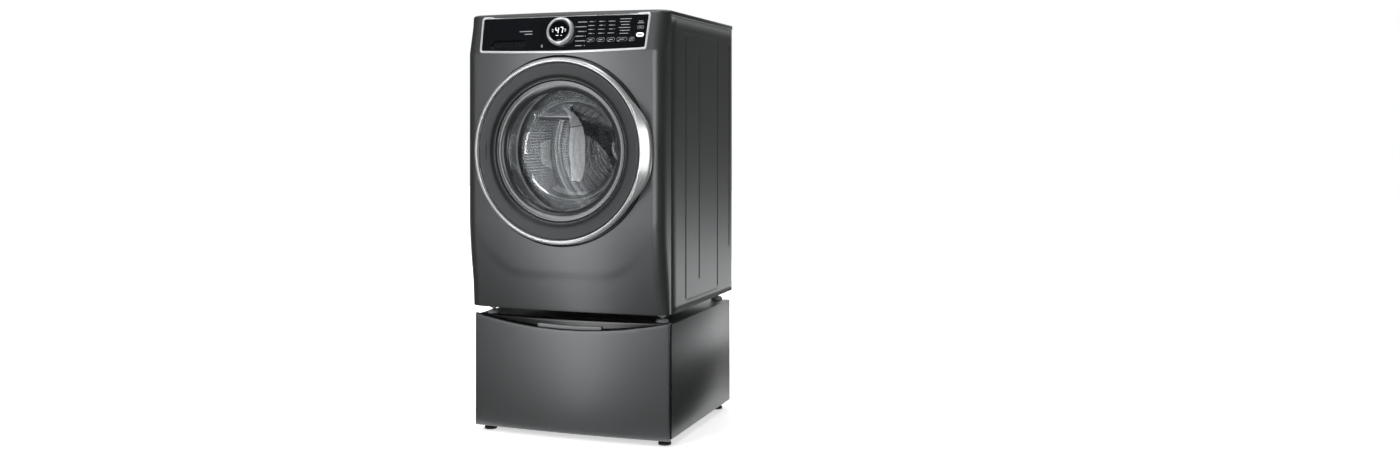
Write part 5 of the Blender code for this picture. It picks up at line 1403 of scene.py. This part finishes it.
def addCard(name, level, centre, size, facing):
    # an upright or tilted glowing rectangle that faces a point
    bm = bmesh.new()
    bmesh.ops.create_grid(bm, x_segments=1, y_segments=1, size=0.5)
    bmesh.ops.scale(bm, vec=(size[0], size[1], 1), verts=bm.verts)
    turn = (Vector(facing) - Vector(centre)).to_track_quat("Z", "Y").to_matrix()
    bmesh.ops.rotate(bm, cent=(0, 0, 0), matrix=turn, verts=bm.verts)
    bmesh.ops.translate(bm, vec=centre, verts=bm.verts)
    addStage(bm, name, makeGlow(name + "Glow", level))


def buildCards():
    # a dark hood round the front, with strips of light in it, as for photographing gloss paint
    hood = {"radius": 6.5, "height": 6.0, "level": 0.03, "fromDeg": 108, "toDeg": 440, "nearY": -0.34}
    bm = bmesh.new()
    start = math.radians(hood["fromDeg"])
    first = [bm.verts.new((hood["radius"] * math.cos(start), hood["radius"] * math.sin(start), z))
             for z in (0.0, hood["height"])]
    edge = bm.edges.new(first)
    bmesh.ops.spin(bm, geom=[*first, edge], cent=(0, 0, 0), axis=(0, 0, 1), dvec=(0, 0, 0),
                   angle=math.radians(hood["toDeg"] - hood["fromDeg"]), steps=64)
    addStage(bm, "darkHood", makeGlow("darkHoodGlow", hood["level"]))
    far = -7.0
    reach = hood["nearY"] - far
    addCard("darkCeiling", hood["level"], (0, -3.2, hood["height"]), (13, 7.4), (0, -3.2, 0))
    floorCards = (("darkFloorCard", 0, hood["nearY"] - reach / 2, (13, reach)),
                  ("darkFloorLeft", -3.45, 0.66, (6.1, 2.0)), ("darkFloorRight", 3.45, 0.66, (6.1, 2.0)))
    for name, x, y, size in floorCards:
        addCard(name, hood["level"], (x, y, 0.004), size, (x, y, 1))
    addCard("frontStrip", 6.2, (-1.52, -3.82, 1.20), (0.56, 2.4), (0.03, -0.35, 1.20))
    addCard("gripCard", 2.3, (1.45, -4.8, 1.1), (2.3, 2.6), (0.3, -0.35, 1.0))
    addCard("topStrip", 1.6, (-0.8, -2.0, 3.7), (2.6, 1.1), (0, -0.3, 1.0))
    addCard("overheadStrip", 2.0, (0.3, -0.95, 4.0), (2.8, 0.8), (0, -0.95, 1.0))
    # the front strip's foot runs along the floor towards the machine, as wide as it looks from there
    foot = {"from": (0.03, -0.355), "to": (-1.52, -3.82), "near": 0.10, "far": 0.95, "share": 0.145,
            "level": 4.8, "fade": {"nearY": -0.65, "farY": -2.1, "share": 0.42}}
    along = Vector((foot["to"][0] - foot["from"][0], foot["to"][1] - foot["from"][1], 0))
    across = Vector((along.y, -along.x, 0)) * foot["share"] / 2
    origin = Vector((*foot["from"], 0.008))
    bm = bmesh.new()
    corners = [origin + along * t + across * t * side for t, side in
               ((foot["near"], -1), (foot["near"], 1), (foot["far"], 1), (foot["far"], -1))]
    bm.faces.new([bm.verts.new(corner) for corner in corners])
    addStage(bm, "frontStripFoot", makeGlow("frontStripFootGlow", foot["level"], foot["fade"]))


def addLamp(name, place, target, size, watts, inGloss=False):
    # an area lamp, kept out of reflections unless it lights bare metal
    data = bpy.data.lights.new(name, "AREA")
    data.shape = "RECTANGLE"
    data.size, data.size_y = size
    data.energy = watts
    lamp = bpy.data.objects.new(name, data)
    lamp.location = place
    lamp.rotation_euler = (Vector(target) - Vector(place)).to_track_quat("-Z", "Y").to_euler()
    lamp.visible_glossy = inGloss
    bpy.context.scene.collection.objects.link(lamp)


def buildLamps():
    addLamp("frontLamp", (-1.9, -4.4, 3.0), (0, 0, 0.8), (2.6, 2.6), 150.0)
    addLamp("rightLamp", (3.6, -2.4, 2.4), (0, 0, 0.8), (1.8, 1.8), 22.0)
    addLamp("topLamp", (0.0, -0.3, 3.8), (0, 0, 0.9), (2.4, 2.4), 70.0)
    addLamp("backLamp", (-1.0, 4.2, 2.8), (0, 0, 0.8), (2.4, 2.4), 110.0)
    # two lamps inside the drum's mouth show its steel through the glass
    addLamp("drumTopLamp", (0.06, -0.185, 1.085), (-0.03, 0.18, 0.86), (0.14, 0.06), 0.55, inGloss=True)
    addLamp("drumLeftLamp", (0.175, -0.180, 0.870), (-0.20, 0.12, 0.95), (0.05, 0.14), 0.4, inGloss=True)


def buildCamera():
    view = {"place": (1.6623, -3.7658, 0.9976), "turnDeg": 19.30, "lens": 30.94, "shiftY": -0.0767}
    data = bpy.data.cameras.new("studioCamera")
    data.lens = view["lens"]
    data.sensor_width = 36.0
    data.shift_y = view["shiftY"]
    data.clip_end = 60.0
    camera = bpy.data.objects.new("studioCamera", data)
    camera.location = view["place"]
    camera.rotation_euler = (math.radians(90), 0, math.radians(view["turnDeg"]))
    bpy.context.scene.collection.objects.link(camera)
    bpy.context.scene.camera = camera


buildFloorAndWorld()
buildCards()
buildLamps()
buildCamera()
bpy.context.scene.view_settings.view_transform = "Standard"
print("studio set")
